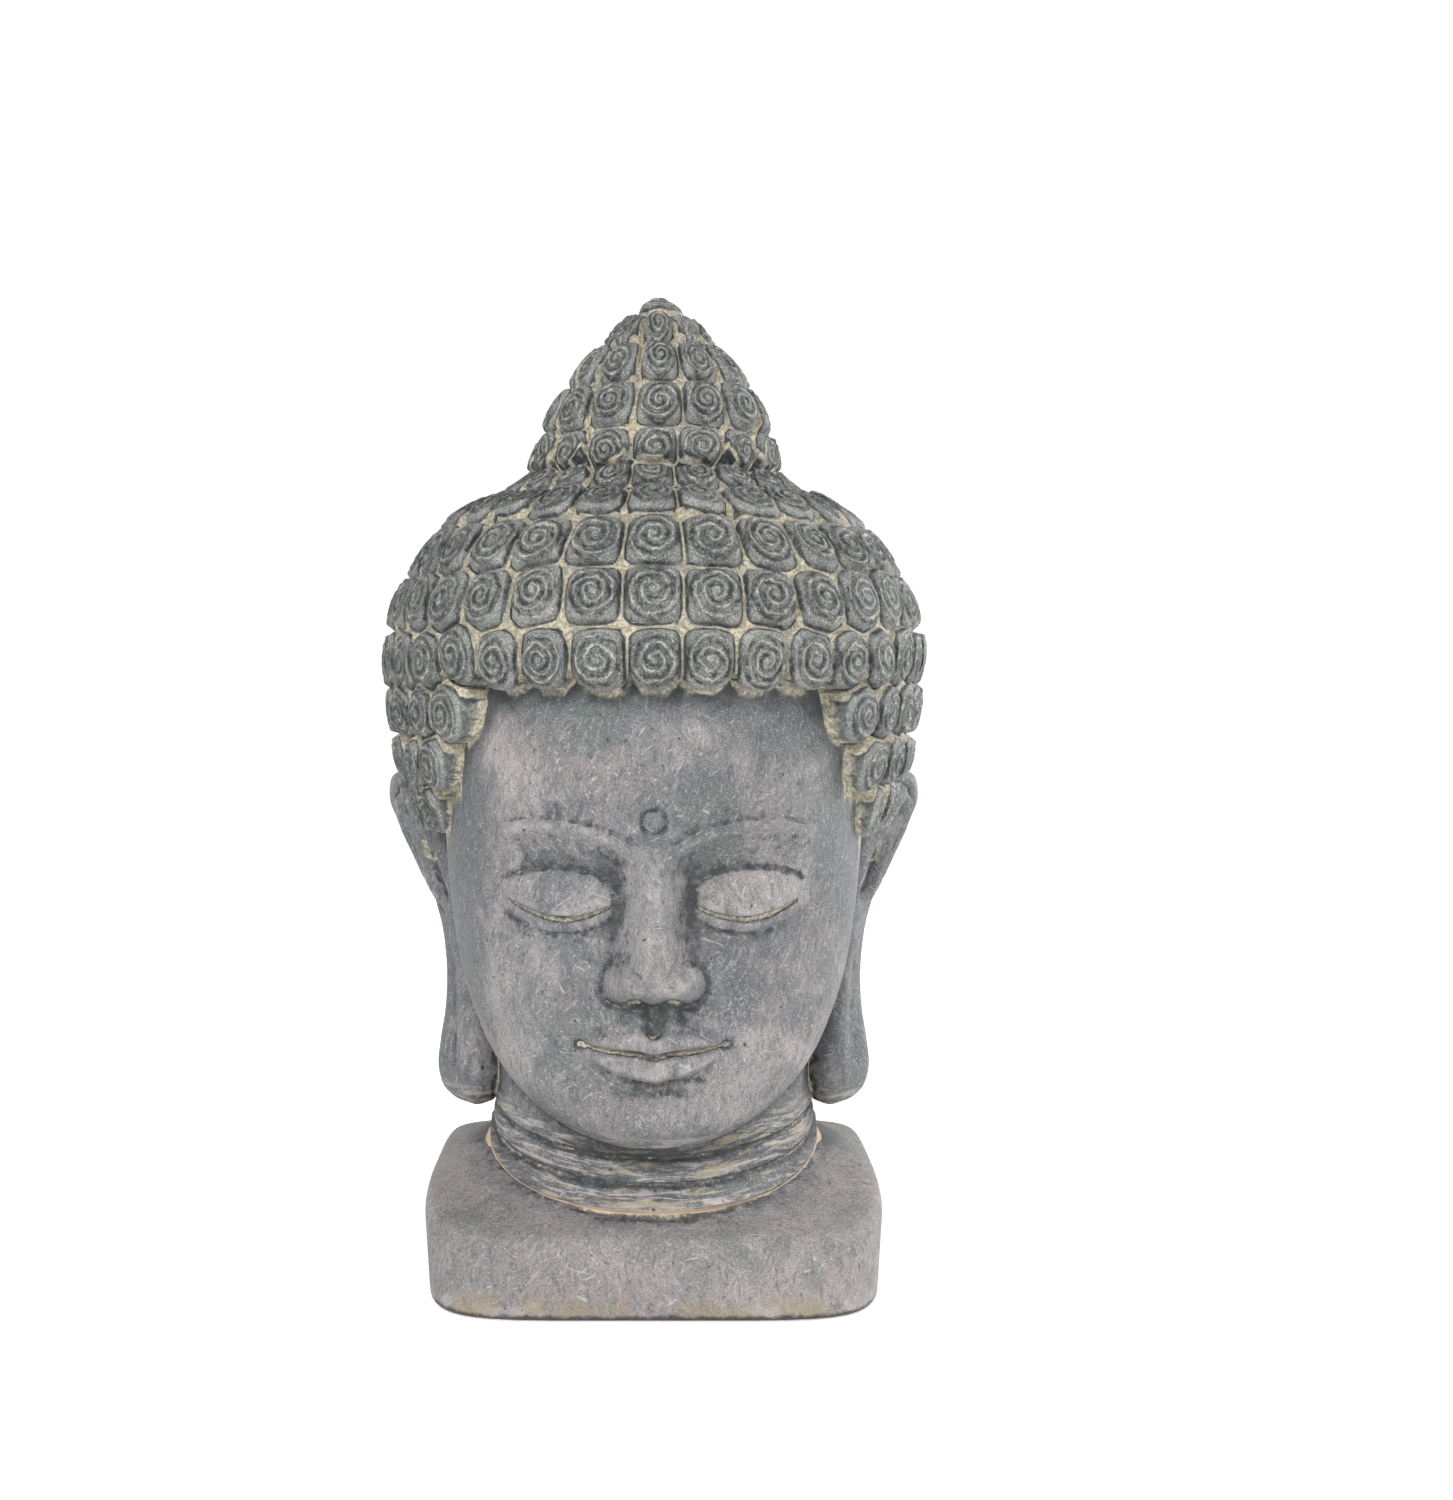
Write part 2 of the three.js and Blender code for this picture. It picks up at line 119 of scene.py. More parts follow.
SCALP_FORM = [
    (108, 60, 40, 84, 20, 2),
    (112, 80, 50, 92, 20, 2.1),
    (130, 91, 60, 99, 22, 2.1),
    (150, 98, 80, 106, 26, 2.1),
    (175, 105, 94, 114, 30, 2.1),
    (200, 112, 100, 120, 34, 2.1),
    (222, 119, 105, 124, 37, 2.1),
    (240, 125.5, 109, 126, 38, 2.1),
    (265, 129, 113, 126.5, 38, 2.1),
    (290, 131, 115, 125.5, 38, 2.1),
    (308, 128, 112.5, 121.5, 36, 2.1),
    (325, 120, 104, 113, 32, 2.1),
    (340, 109.5, 92, 101, 26, 2.05),
    (352, 98, 78, 88, 20, 2),
    (360, 83, 63, 75, 15, 2),
    (366, 69, 53, 66, 12, 2),
    (374, 59, 45, 60, 10, 2),
    (390, 53.5, 41, 55, 9, 2),
    (408, 47, 35, 49, 8, 2),
    (428, 34, 24, 37, 8, 2),
    (446, 17.5, 9, 22, 8, 2),
    (458, 7, -1, 12, 8, 2),
    (460.5, 3, -5, 9, 8, 2),
]
NECK_FORM = [
    (28, 85, 108, 84, 0, 2),
    (38, 84.5, 107, 82, 0, 2),
    (46, 82, 103, 79, 0, 2),
    (60, 79, 93, 76, 0, 2),
    (80, 78, 86, 76, 0, 2),
    (130, 80, 60, 78, 0, 2),
]

# The folds of the neck: height and depth of each groove.
NECK_FOLDS = [(44.5, 1.6), (55.0, 1.6), (66.0, 1.3)]
FOLD_SWELL = 0.7
FOLD_RISE = 8.0
FOLD_DROP = 3.0
CHEST_FORM = [
    (0, 100.5, 115, 102, -10, 6),
    (1, 102.5, 117, 104, -10, 6),
    (4, 103.6, 118, 105, -10, 5.6),
    (12, 104.6, 118.6, 106, -10, 5.2),
    (24, 106, 118.4, 106.5, -10, 4.8),
    (36, 107.2, 116.5, 105, -10, 4.4),
    (42, 106.3, 113.5, 103, -10, 4),
    (47, 99.5, 107, 96, -8, 3.3),
    (51.5, 89.5, 100, 89, -6, 2.6),
    (56, 81, 91, 81, -4, 2.3),
    (60, 76, 83, 75, -2, 2.1),
    (64, 60, 60, 60, 0, 2),
]
CHEST_FALL_FRONT = 11.0
CHEST_FALL_BACK = 18.0

# An ear from its top to the tip of its lobe: middle x, y, z, half width, thickness, and the
# turn of its face in degrees, 0 facing sideways.
EAR_FORM = [
    (114.5, 25, 233, 6, 4, 30),
    (119.5, 25, 230, 17, 6, 31),
    (122.5, 24, 224.5, 24, 7, 33),
    (121.5, 23, 214, 27.5, 7.5, 33),
    (117, 21, 202, 28, 7.5, 31),
    (110, 18, 187, 25, 7.5, 29),
    (103.5, 14, 170, 20, 7.5, 26),
    (98, 8, 152, 15.5, 7.5, 24),
    (94.5, 2, 132, 13.5, 8, 27),
    (92.5, -4, 113, 15, 9, 32),
    (92, -8, 98, 17.5, 10, 38),
    (91.5, -9, 86, 18.5, 11, 42),
    (90.5, -9, 76.5, 16.5, 10.5, 44),
    (89, -9, 70.5, 11, 8, 44),
    (88, -9, 67.5, 4, 3, 44),
]

EAR_BOWL = 192.0

# The bead round the neck's foot: its height at the sides and how much lower it lies elsewhere.
BEAD = 59.5
BEAD_DROP_FRONT = 15.0
BEAD_DROP_BACK = 14.0
BEAD_SWELL = 1.8
BEAD_WIDTH = 1.7

# The neck's half width, front and back at its foot, where the bead lies.
NECK_HALF = 82.0
NECK_FRONT = 103.0
NECK_BACK = 79.0

# Grids, as rows and columns, before the mesh is thinned.
FACE_ROWS, FACE_COLUMNS, SKULL_COLUMNS = 340, 300, 60
FACE_ANGLE = 1.25
HAIR_ROWS, HAIR_COLUMNS = 600, 1040
NECK_ROWS, NECK_COLUMNS = 200, 300
CHEST_ROWS, CHEST_COLUMNS = 120, 360
EAR_ROWS, EAR_COLUMNS = 200, 90
MOST_TRIANGLES = 190000


# -------- curves and sections

def smooth(low, high, x):
    t = np.clip((x - low) / (high - low), 0.0, 1.0)
    return t * t * (3 - 2 * t)


def bell(x, width):
    return np.exp(-((x / width) ** 2))


def mix(a, b, t):
    return a + (b - a) * t


def curve(xs, ys, x):
    """A smooth curve through points that never overshoots them."""
    xs = np.asarray(xs, float)
    ys = np.asarray(ys, float)
    slope = np.diff(ys) / np.diff(xs)
    tangent = np.empty_like(ys)
    tangent[0], tangent[-1] = slope[0], slope[-1]
    same = slope[:-1] * slope[1:] > 0
    total = np.where(same, slope[:-1] + slope[1:], 1)
    tangent[1:-1] = np.where(same, 2 * slope[:-1] * slope[1:] / total, 0)
    x = np.clip(x, xs[0], xs[-1])
    i = np.clip(np.searchsorted(xs, x) - 1, 0, len(xs) - 2)
    step = xs[i + 1] - xs[i]
    t = (x - xs[i]) / step
    near = (2 * t**3 - 3 * t**2 + 1) * ys[i] + (t**3 - 2 * t**2 + t) * step * tangent[i]
    return near + (3 * t**2 - 2 * t**3) * ys[i + 1] + (t**3 - t**2) * step * tangent[i + 1]


def stations(form, shares):
    """Stations at the given shares of the way along a form's side."""
    s = np.asarray(form, float)
    sideways = np.maximum(np.abs(np.diff(s[:, 1])), np.abs(np.diff(s[:, 2])))
    at = np.concatenate([[0], np.cumsum(np.hypot(np.diff(s[:, 0]), sideways))])
    return np.stack([curve(at, column, shares * at[-1]) for column in s.T], 1)


def station_at(form, z):
    """The station of a form at one height."""
    s = np.asarray(form, float)
    return np.array([[z] + [float(curve(s[:, 0], column, z)) for column in s.T[1:]]])


def section(rows, angles):
    """Points [row, column] of the stations' rounded sections at angles from the front."""
    z, half, front, back, middle, square = [column[:, None] for column in rows.T]
    s, c = np.sin(angles)[None, :], np.cos(angles)[None, :]
    x = half * np.sign(s) * np.abs(s) ** (2 / square)
    y = middle + np.where(c > 0, -(front + middle), back - middle) * np.abs(c) ** (2 / square)
    return np.stack([x, y, np.broadcast_to(z, x.shape)], 2)


def around(count):
    return np.arange(count) * TURN / count


def grid_normals(p):
    across = np.roll(p, -1, 1) - np.roll(p, 1, 1)
    along = np.gradient(p, axis=0)
    n = np.cross(across, along)
    return n / np.maximum(np.linalg.norm(n, axis=2, keepdims=True), 1e-9)


# -------- head and face

def brow_height(x):
    return BROW - 8 + 17 * np.sin(np.clip((x + 1) / 82, 0, 1) * math.pi * 0.84) ** 0.9


def eye_relief(ax, z):
    """Brow ridge, socket, ball of the eye, and its lids parted along a lowered line."""
    below = brow_height(ax) - z
    out = 2.3 * bell(below - 0.5, 2.8) * smooth(3, 12, ax) * (1 - smooth(62, 80, ax))
    socket = smooth(-1, 11, below) * bell(z - EYE - 1, 22) * (1 - smooth(50, 84, ax))
    out -= 6.5 * socket * smooth(1, 20, ax)
    ball = 1 - ((ax - EYE_APART) / 28) ** 2 - ((z - EYE + 1) / 15) ** 2
    out += 6.8 * smooth(-0.15, 1.15, ball) ** 0.9
    t = np.clip((ax - EYE_APART + EYE_HALF) / (2 * EYE_HALF), 0, 1)
    along = smooth(0, 0.07, t) * (1 - smooth(0.93, 1, t))
    gap = EYE - 3.5 + 1.6 * t - 6.2 * np.sin(math.pi * t) ** 0.9 - z
    parting = 2.4 * np.sin(math.pi * t)
    out += 1.4 * along * (gap < 0) * bell(gap + 0.8, 5.0)
    out -= 2.2 * along * smooth(-0.3, 0.6, gap) * (1 - smooth(parting, parting + 1.5, gap))
    out += 0.8 * along * bell(gap - parting - 3.0, 2.4)
    crease = EYE + 3.5 + 8.5 * np.sin(math.pi * np.clip((ax - 14) / 58, 0, 1)) ** 0.8
    return out - 0.9 * bell(z - crease, 1.6) * smooth(15, 24, ax) * (1 - smooth(60, 72, ax))


def nose_relief(ax, z):
    """Bridge, tip, wings and nostrils."""
    heights = [NOSE - 3, NOSE - 0.5, NOSE + 2, NOSE + 5, NOSE + 9, NOSE + 14, NOSE + 24,
               NOSE + 44, BROW - 4, BROW + 8, BROW + 30]
    reach = [0, 4, 13.5, 18.8, 21.4, 21.4, 19.2, 14.6, 9, 3.2, 0]
    breadth = curve([NOSE, NOSE + 9, NOSE + 24, NOSE + 44, BROW, BROW + 20],
                    [10.5, 12, 9.6, 8.6, 10.5, 26], z)
    out = curve(heights, reach, z) / (1 + (ax / breadth) ** 3.2)
    wing = ((ax - 13.2) / 8.8) ** 2 + ((z - NOSE - 7.2) / 9) ** 2
    out += 7.4 * smooth(-0.25, 1.05, 1 - wing) * smooth(-0.2, 0.5, (z - NOSE) / 9 + 0.4)
    out -= 0.5 * bell(np.sqrt(wing) - 1.2, 0.25) * smooth(12, 19, ax)
    return out - 4.6 * bell(ax - 8.4, 4.4) * bell(z - NOSE - 1.2, 2.4)


def mouth_relief(ax, z):
    """Lips on their swelling, the groove above them and the hollow below."""
    s = np.clip(ax / MOUTH_HALF, 0, 1)
    over = z - (LIPS - 0.5 + 2.6 * s**2.2 - 1.2 * bell(ax, 5))
    upper = 7.8 * (1 - s**2) ** 0.8 + 1.3 * bell(ax - 6.5, 4) - bell(ax, 3)
    lower = 10.8 * (1 - s**2.4) ** 0.75
    lip = 1 - smooth(0.93, 1.05, ax / MOUTH_HALF)
    out = 4.6 * bell(ax, 34) * bell(z - LIPS + 1, 23)
    out += lip * smooth(0, 1.2, over) * (1 - smooth(-1, 1.2, over - upper)) * (2 + 1.4 * bell(ax, 6))
    out += lip * smooth(0, 1.5, -over) * (1 - smooth(-1.8, 1.4, -over - lower)) * (3.8 - 3.2 * s**2)
    out -= 2.3 * bell(over, 1.2) * (1 - smooth(0.95, 1.12, ax / MOUTH_HALF))
    out -= 2.2 * bell(ax - MOUTH_HALF - 1.5, 4.5) * bell(z - LIPS - 2.2, 4.2)
    groove = smooth(LIPS + 6, LIPS + 9, z) * (1 - smooth(NOSE - 4, NOSE, z))
    out += groove * (0.6 * bell(ax - 7, 3.2) - 0.9 * bell(ax, 4.4))
    return out - 3 * bell(z - LIPS + 17.5, 5.5) * bell(ax, 22)


def face_relief(x, z):
    """How far the features stand in front of the plain oval of the face."""
    ax = np.abs(x)
    out = eye_relief(ax, z) + nose_relief(ax, z) + mouth_relief(ax, z)
    out += 3.4 * bell(z - CHIN - 15, 12) * bell(ax, 21)
    out += 3.4 * bell(ax - 50, 28) * bell(z - 152, 30)
    ring = np.hypot(x, z - BROW - 11)
    return out + 1.2 * (1 - smooth(2.4, 5.2, ring)) - 0.3 * bell(ring - 5.8, 1.2)


def head_grid():
    """The skull with its face, its columns closest in front."""
    front = np.linspace(-FACE_ANGLE, FACE_ANGLE, FACE_COLUMNS)
    behind = np.linspace(FACE_ANGLE, TURN - FACE_ANGLE, SKULL_COLUMNS)[1:-1]
    p = section(stations(FACE_FORM, np.linspace(0, 1, FACE_ROWS)), np.concatenate([front, behind]))
    p[..., 1] -= face_relief(p[..., 0], p[..., 2]) * smooth(0, 35, -p[..., 1])
    return p


# -------- hair

def crown_lean(z):
    """How far the crown leans to its left at a height."""
    return CROWN_LEAN * smooth(360, 430, z)


def scalp_frame(angle, z):
    """A point of the scalp with its sideways, upward and outward directions."""
    at = lambda a, h: section(station_at(SCALP_FORM, h), np.array([a]))[0, 0]
    side = at(angle + 0.01, z) - at(angle - 0.01, z)
    out = np.cross(side, at(angle, z + 0.5) - at(angle, z - 0.5))
    side /= np.linalg.norm(side)
    out /= np.linalg.norm(out)
    return at(angle, z), side, np.cross(out, side), out


def row_angles(z, count, opening):
    """The angles of a row's curls, evenly spaced along the scalp, and their pitch."""
    fine = np.linspace(0, TURN, 721)
    ring = section(station_at(SCALP_FORM, z), fine)[0]
    length = np.concatenate([[0], np.cumsum(np.linalg.norm(np.diff(ring, axis=0), axis=1))])
    pitch = length[-1] / count
    if opening == 0:
        return np.interp(np.arange(count) * pitch, length, fine), pitch
    start = np.interp(math.radians(opening), fine, length)
    curls = round((length[-1] - 2 * start) / pitch)
    pitch = (length[-1] - 2 * start) / curls
    return np.interp(start + (np.arange(curls) + 0.5) * pitch, length, fine), pitch


def curl_table():
    """Every curl's place, size and hand-made differences, as arrays. Curls that touch are in
    different sets of the four."""
    random = np.random.default_rng(CURL_SEED)
    rows = []
    for k, (z, count, opening) in enumerate(CURL_ROWS):
        angles, pitch = row_angles(z, count, opening)
        neighbours = [CURL_ROWS[j][0] for j in (k - 1, k + 1) if 0 <= j < len(CURL_ROWS)]
        for j, angle in enumerate(angles):
            place, side, up, out = scalp_frame(angle, z)
            gaps = [np.linalg.norm(scalp_frame(angle, h)[0] - place) for h in neighbours]
            half_high = np.clip(np.mean(gaps) / 2, 8, 17)
            hangs = opening > 0 or z == FOREHEAD_ROW
            past_the_back = opening == 0 and count % 2 == 1 and j > count / 2
            turn = (j + past_the_back) % 2
            rows.append((place, side, up, pitch / 2, half_high, 2 * (k % 2) + turn, hangs))
    top = np.array([0, CROWN_Y, SCALP_FORM[-1][0]])
    rows.append((top, np.array([1.0, 0, 0]), np.array([0, 1.0, 0]), 12.0, 12.0, 0, False))
    names = ("place", "side", "up", "half_wide", "half_high", "set", "hangs")
    table = {name: np.array([row[k] for row in rows]) for k, name in enumerate(names)}
    n = len(rows)
    table["spin"] = random.uniform(0, TURN, n)
    table["turns"] = random.uniform(2.7, 3.6, n)
    table["hand"] = random.choice([-1, 1], n)
    table["shift"] = random.normal(0, 0.7, (n, 2))
    table["wear"] = random.uniform(0.4, 1.0, n)
    table["size"] = random.uniform(1.01, 1.09, (n, 2))
    table["tilt"] = random.normal(0, 0.7, (n, 2))
    table["twist"] = random.normal(0, 0.09, n)
    return table


# How curls are weighed up over a point: how many are looked at, how far one reaches, the measure
# that stands for too far, and how sharply the nearest counts most.
NEAREST_CURLS = 4
CURL_REACH = 24.0
TOO_FAR = 9.0
CROWDING = 2.2
POINTS_AT_ONCE = 20000


def curl_measures(q, c):
    """Each point's offsets across and up from its nearest curls' middles, and its distance from
    them in their rounded squares, 1 at the rim."""
    r = q - c["place"]
    u = ((r * c["side"]).sum(2) - c["shift"][..., 0]) / (c["half_wide"] * c["size"][..., 0])
    v = ((r * c["up"]).sum(2) - c["shift"][..., 1]) / (c["half_high"] * c["size"][..., 1])
    u, v = u - v * c["twist"], v + u * c["twist"]
    power = np.where(c["hangs"] & (v < 0), HANGING_SQUARENESS, CURL_SQUARENESS)
    square = (np.abs(u) ** power + np.abs(v) ** power) ** (1 / power)
    return u, v, square + TOO_FAR * (np.linalg.norm(r, axis=2) > CURL_REACH)


def inside_sets(square, sets):
    """How far each point is inside the curls of three of the sets, against all others."""
    inside = []
    for k in range(3):
        own = np.where(sets == k, square, TOO_FAR).min(1)
        others = np.where(sets == k, TOO_FAR, square).min(1)
        inside.append(np.clip(others - own, -1, 1))
    return np.stack(inside, 1)


def curl_relief(points, curls):
    """The curls over scalp points: their height, how far each point is from its own curl's middle,
    1 at the rim, how far it is from all of them, its place in the curl, turned so that every
    spiral starts alike, and how far it is inside the curls of each of three sets, so that the
    seams between curls run where one of these is 0."""
    parts = []
    for low in range(0, len(points), POINTS_AT_ONCE):
        q = points[low:low + POINTS_AT_ONCE, None, :]
        distance = ((q - curls["place"][None]) ** 2).sum(2)
        nearest = np.argpartition(distance, NEAREST_CURLS, axis=1)[:, :NEAREST_CURLS]
        c = {name: values[nearest] for name, values in curls.items()}
        u, v, square = curl_measures(q, c)
        inside = inside_sets(square, c["set"])
        order = np.argsort(square, axis=1)
        first, second = [np.take_along_axis(square, order[:, k:k + 1], 1)[:, 0] for k in (0, 1)]
        crowd = -np.log(np.exp(-CROWDING * square**2).sum(1) + 1e-30) / CROWDING
        crowd = np.sqrt(np.maximum(crowd, 0))
        row = np.arange(len(u)), order[:, 0]
        c = {name: values[row] for name, values in c.items()}
        u, v = u[row], v[row]
        beside = mix(crowd, first, smooth(0.15, 0.6, -v) * c["hangs"])
        angle = np.arctan2(v, u) * c["hand"] + c["spin"]
        round_ = np.hypot(u, v)
        turned = np.stack([round_ * np.cos(angle), round_ * np.sin(angle), c["turns"]], 1)
        own = np.clip((second - first) / 0.40, 0, 1) ** 0.5
        own = own * np.clip(1 - (first / 1.10) ** 9, 0, 1) ** 0.5
        h = CURL_HEIGHT + CURL_RIM * (1 - smooth(0.80, 0.92, round_)) + CURL_DOME * (1 - round_**2)
        h += u * c["tilt"][:, 0] + v * c["tilt"][:, 1]
        h -= c["wear"] * SPIRAL_DEPTH * spiral_groove(turned)
        parts.append((h * own, first, beside, turned, inside))
    return [np.concatenate(part) for part in zip(*parts)]


def spiral_groove(turned):
    """How deep a place in a curl lies in its spiral groove, 0 to 1."""
    round_ = np.hypot(turned[:, 0], turned[:, 1])
    phase = round_ * turned[:, 2] - np.arctan2(turned[:, 1], turned[:, 0]) / TURN
    wave = 0.5 - 0.5 * np.cos(TURN * phase)
    return wave**1.7 * smooth(0.04, 0.16, round_) * (1 - smooth(0.84, 0.92, round_))


def hair_grid(curls):
    """The scalp under its curls. Away from them, low down, it is drawn in behind the face."""
    base = section(stations(SCALP_FORM, np.linspace(0, 1, HAIR_ROWS)), around(HAIR_COLUMNS))
    height, _, beside, _, _ = curl_relief(base.reshape(-1, 3), curls)
    height = np.maximum(height, VALLEY_FLOOR * (1 - smooth(0.99, 1.06, beside)))
    p = base + grid_normals(base) * height.reshape(base.shape[:2])[..., None]
    away = smooth(1.06, 1.13, beside).reshape(base.shape[:2]) * (base[..., 2] < 280)
    keep = 1 - (1 - DRAWN_IN) * away
    p[..., 0] *= keep
    p[..., 1] = HAIR_AXIS + (p[..., 1] - HAIR_AXIS) * keep
    knob = np.sqrt(1 - np.clip((p[..., 2] - KNOB_FOOT) / KNOB_HEIGHT, 0, 1) ** 2)
    p[..., 0] *= knob
    p[..., 1] = CROWN_Y + (p[..., 1] - CROWN_Y) * knob
    p[..., 0] += crown_lean(p[..., 2])
    return p


# -------- neck, chest and ears

def bead_height(front):
    """The height of the bead round the neck, from 1 in front through 0 at the sides to -1 behind."""
    return BEAD - BEAD_DROP_FRONT * smooth(-0.1, 1, front) - BEAD_DROP_BACK * smooth(-0.1, 1, -front)


def neck_grid():
    """The neck, with soft folds that rise towards the back and a thin bead round its foot."""
    angles = around(NECK_COLUMNS)
    p = section(stations(NECK_FORM, np.linspace(0, 1, NECK_ROWS)), angles)
    swell = np.zeros(p.shape[:2])
    for fold, depth in NECK_FOLDS:
        d = p[..., 2] - fold
        swell += FOLD_SWELL * bell(d - 5.5, 4.0) - depth * bell(d, 2.0)
    p[..., 2] += FOLD_RISE * (1 - np.cos(angles))[None, :] - FOLD_DROP
    swell += BEAD_SWELL * bell(p[..., 2] - bead_height(np.cos(angles))[None, :], BEAD_WIDTH)
    radius = np.hypot(p[..., 0], p[..., 1])
    p[..., 0] *= 1 + swell / radius
    p[..., 1] *= 1 + swell / radius
    return p


def chest_grid():
    """The chest block, its top falling away to the front and more to the back."""
    angles = around(CHEST_COLUMNS)
    p = section(stations(CHEST_FORM, np.linspace(0, 1, CHEST_ROWS)), angles)
    front = CHEST_FALL_FRONT * smooth(-0.1, 1, np.cos(angles))
    back = CHEST_FALL_BACK * smooth(-0.1, 1, -np.cos(angles))
    p[..., 2] -= smooth(24, 58, p[..., 2]) * (front + back)[None, :]
    return p


def ear_relief(across, z):
    """How far an ear's outer face stands out, at a distance across it and a height."""
    up = z - EAR_BOWL
    round_ = np.hypot(across / 27, up / 42)
    behind = smooth(-20, -4, across + 0.35 * up)
    rim_groove = bell(round_ - 0.74, 0.075) * behind
    fold = bell(np.hypot((across - 1) / 15, (up + 2) / 27) - 1, 0.17) * behind
    bowl = 1 - smooth(0.55, 1.05, np.hypot((across + 4) / 13, (up + 11) / 19))
    fork = bell(across - 0.45 * (up - 14), 3.2) * smooth(8, 16, up) * (1 - smooth(24, 30, up))
    flap = bell(np.hypot((across + 17) / 5, (up + 12) / 9), 1)
    slit = bell(across, 5) * smooth(-112, -100, up) * (1 - smooth(-60, -44, up))
    out = 2.2 * fold - 3.0 * rim_groove - 6.5 * bowl + 2.2 * flap
    return out - 1.8 * fork * (1 - bowl) - 2.0 * slit


def ear_grid(side):
    """A long ear with a hollow bowl above and a hanging lobe below. Side is 1 or -1."""
    form = np.asarray(EAR_FORM, float)
    spacing = np.linalg.norm(np.diff(form[:, :3], axis=0), axis=1) + np.abs(np.diff(form[:, 3])) / 2
    at = np.concatenate([[0], np.cumsum(spacing)])
    shares = np.linspace(0, at[-1], EAR_ROWS)
    x, y, z, half, thick, turned = [curve(at, column, shares)[:, None] for column in form.T]
    turned = np.radians(turned)
    flat = np.zeros_like(turned)
    across = np.concatenate([np.sin(turned), np.cos(turned), flat], 1)[:, None, :]
    outward = np.concatenate([np.cos(turned), -np.sin(turned), flat], 1)[:, None, :]
    angles = around(EAR_COLUMNS)
    c, s = np.cos(angles)[None, :], np.sin(angles)[None, :]
    u = np.sign(c) * np.abs(c) ** 0.7
    rooted = np.where(s < 0, 1 + 1.4 * smooth(150, 190, z), 1)
    depth = thick * rooted * np.sign(s) * np.abs(s) ** 0.7
    depth = depth + ear_relief(half * u, z) * np.clip(s * 1.6, 0, 1)
    p = np.concatenate([x, y, z], 1)[:, None, :] + across * (half * u)[..., None]
    p = p + outward * depth[..., None]
    p[..., 0] *= side
    return p[:, ::side]


# -------- mesh

def add_object(name, data):
    thing = bpy.data.objects.new(name, data)
    bpy.context.scene.collection.objects.link(thing)
    return thing


def closed_mesh(name, p):
    """A closed mesh from rings of points, with a flat fan at each end."""
    rows, columns = p.shape[:2]
    ring = np.arange(columns)
    after = (ring + 1) % columns
    lift = np.arange(rows - 1)[:, None] * columns
    quads = np.stack([lift + ring, lift + after, lift + columns + after, lift + columns + ring], 2)
    points = np.vstack([p.reshape(-1, 3), p[0].mean(0), p[-1].mean(0)])
    last = (rows - 1) * columns
    foot = np.stack([after, ring, np.full(columns, len(points) - 2)], 1)
    head = np.stack([last + ring, last + after, np.full(columns, len(points) - 1)], 1)
    mesh = bpy.data.meshes.new(name)
    faces = quads.reshape(-1, 4).tolist() + foot.tolist() + head.tolist()
    mesh.from_pydata((points * MM).tolist(), [], faces)
    return add_object(name, mesh)


def apply_modifiers(piece):
    """Turns the modifiers into plain mesh."""
    graph = bpy.context.evaluated_depsgraph_get()
    mesh = bpy.data.meshes.new_from_object(piece.evaluated_get(graph))
    piece.modifiers.clear()
    piece.data = mesh


def join(whole, form):
    cut = whole.modifiers.new("join", "BOOLEAN")
    cut.operation = "UNION"
    cut.solver = "MANIFOLD"
    cut.material_mode = "TRANSFER"
    cut.object = form
    apply_modifiers(whole)
    bpy.data.objects.remove(form)


def gathered(items, name, width=1, kind=float):
    """One property of a mesh's vertices, polygons or triangles, as an array."""
    values = np.empty(len(items) * width, kind)
    items.foreach_get(name, values)
    return values


def positions(mesh):
    return gathered(mesh.vertices, "co", 3).reshape(-1, 3)


def triangle_count(mesh):
    mesh.calc_loop_triangles()
    return len(mesh.loop_triangles)


# These only mark which faces are hair and which bare stone, until the finish is stored.
HAIR_MARK = bpy.data.materials.new("hair_mark")
BARE_MARK = bpy.data.materials.new("bare_mark")


def build_head():
    """The whole work as one mesh, brought to the size of its CAD solid."""
    curls = curl_table()
    whole = closed_mesh("stone_head", hair_grid(curls))
    whole.data.materials.append(HAIR_MARK)
    forms = [head_grid(), chest_grid(), neck_grid(), ear_grid(1), ear_grid(-1)]
    for k, grid in enumerate(forms):
        form = closed_mesh(f"form_{k}", grid)
        form.data.materials.append(BARE_MARK)
        join(whole, form)
    thin = whole.modifiers.new("thin", "DECIMATE")
    thin.ratio = MOST_TRIANGLES / triangle_count(whole.data)
    apply_modifiers(whole)
    co = positions(whole.data)
    low, high = [np.array(corner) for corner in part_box(NODE)]
    co = low + (co - co.min(0)) * (high - low) / (co.max(0) - co.min(0))
    whole.data.vertices.foreach_set("co", co.ravel())
    whole.data.update()
    return whole, curls


head, curls = build_head()


# -------- where residue and wear gather, and where shade is painted

def corner_weights(co, low, cell):
    """The eight grid corners round each point, with the share of the point that each takes."""
    at = (co - low) / cell
    base = np.floor(at).astype(int)
    part = at - base
    for corner in itertools.product((0, 1), repeat=3):
        share = np.prod(np.where(corner, part, 1 - part), axis=1)
        yield base + corner, share


def blurred(grid, reach):
    """A grid blurred by a bell curve reaching so many cells."""
    taps = np.arange(-2 * reach, 2 * reach + 1)
    weights = np.exp(-0.5 * (taps / (reach * 0.8)) ** 2)
    weights /= weights.sum()
    for axis in range(3):
        total = np.zeros_like(grid)
        for tap, weight in zip(taps, weights):
            total += weight * np.roll(grid, tap, axis)
        grid = total
    return grid


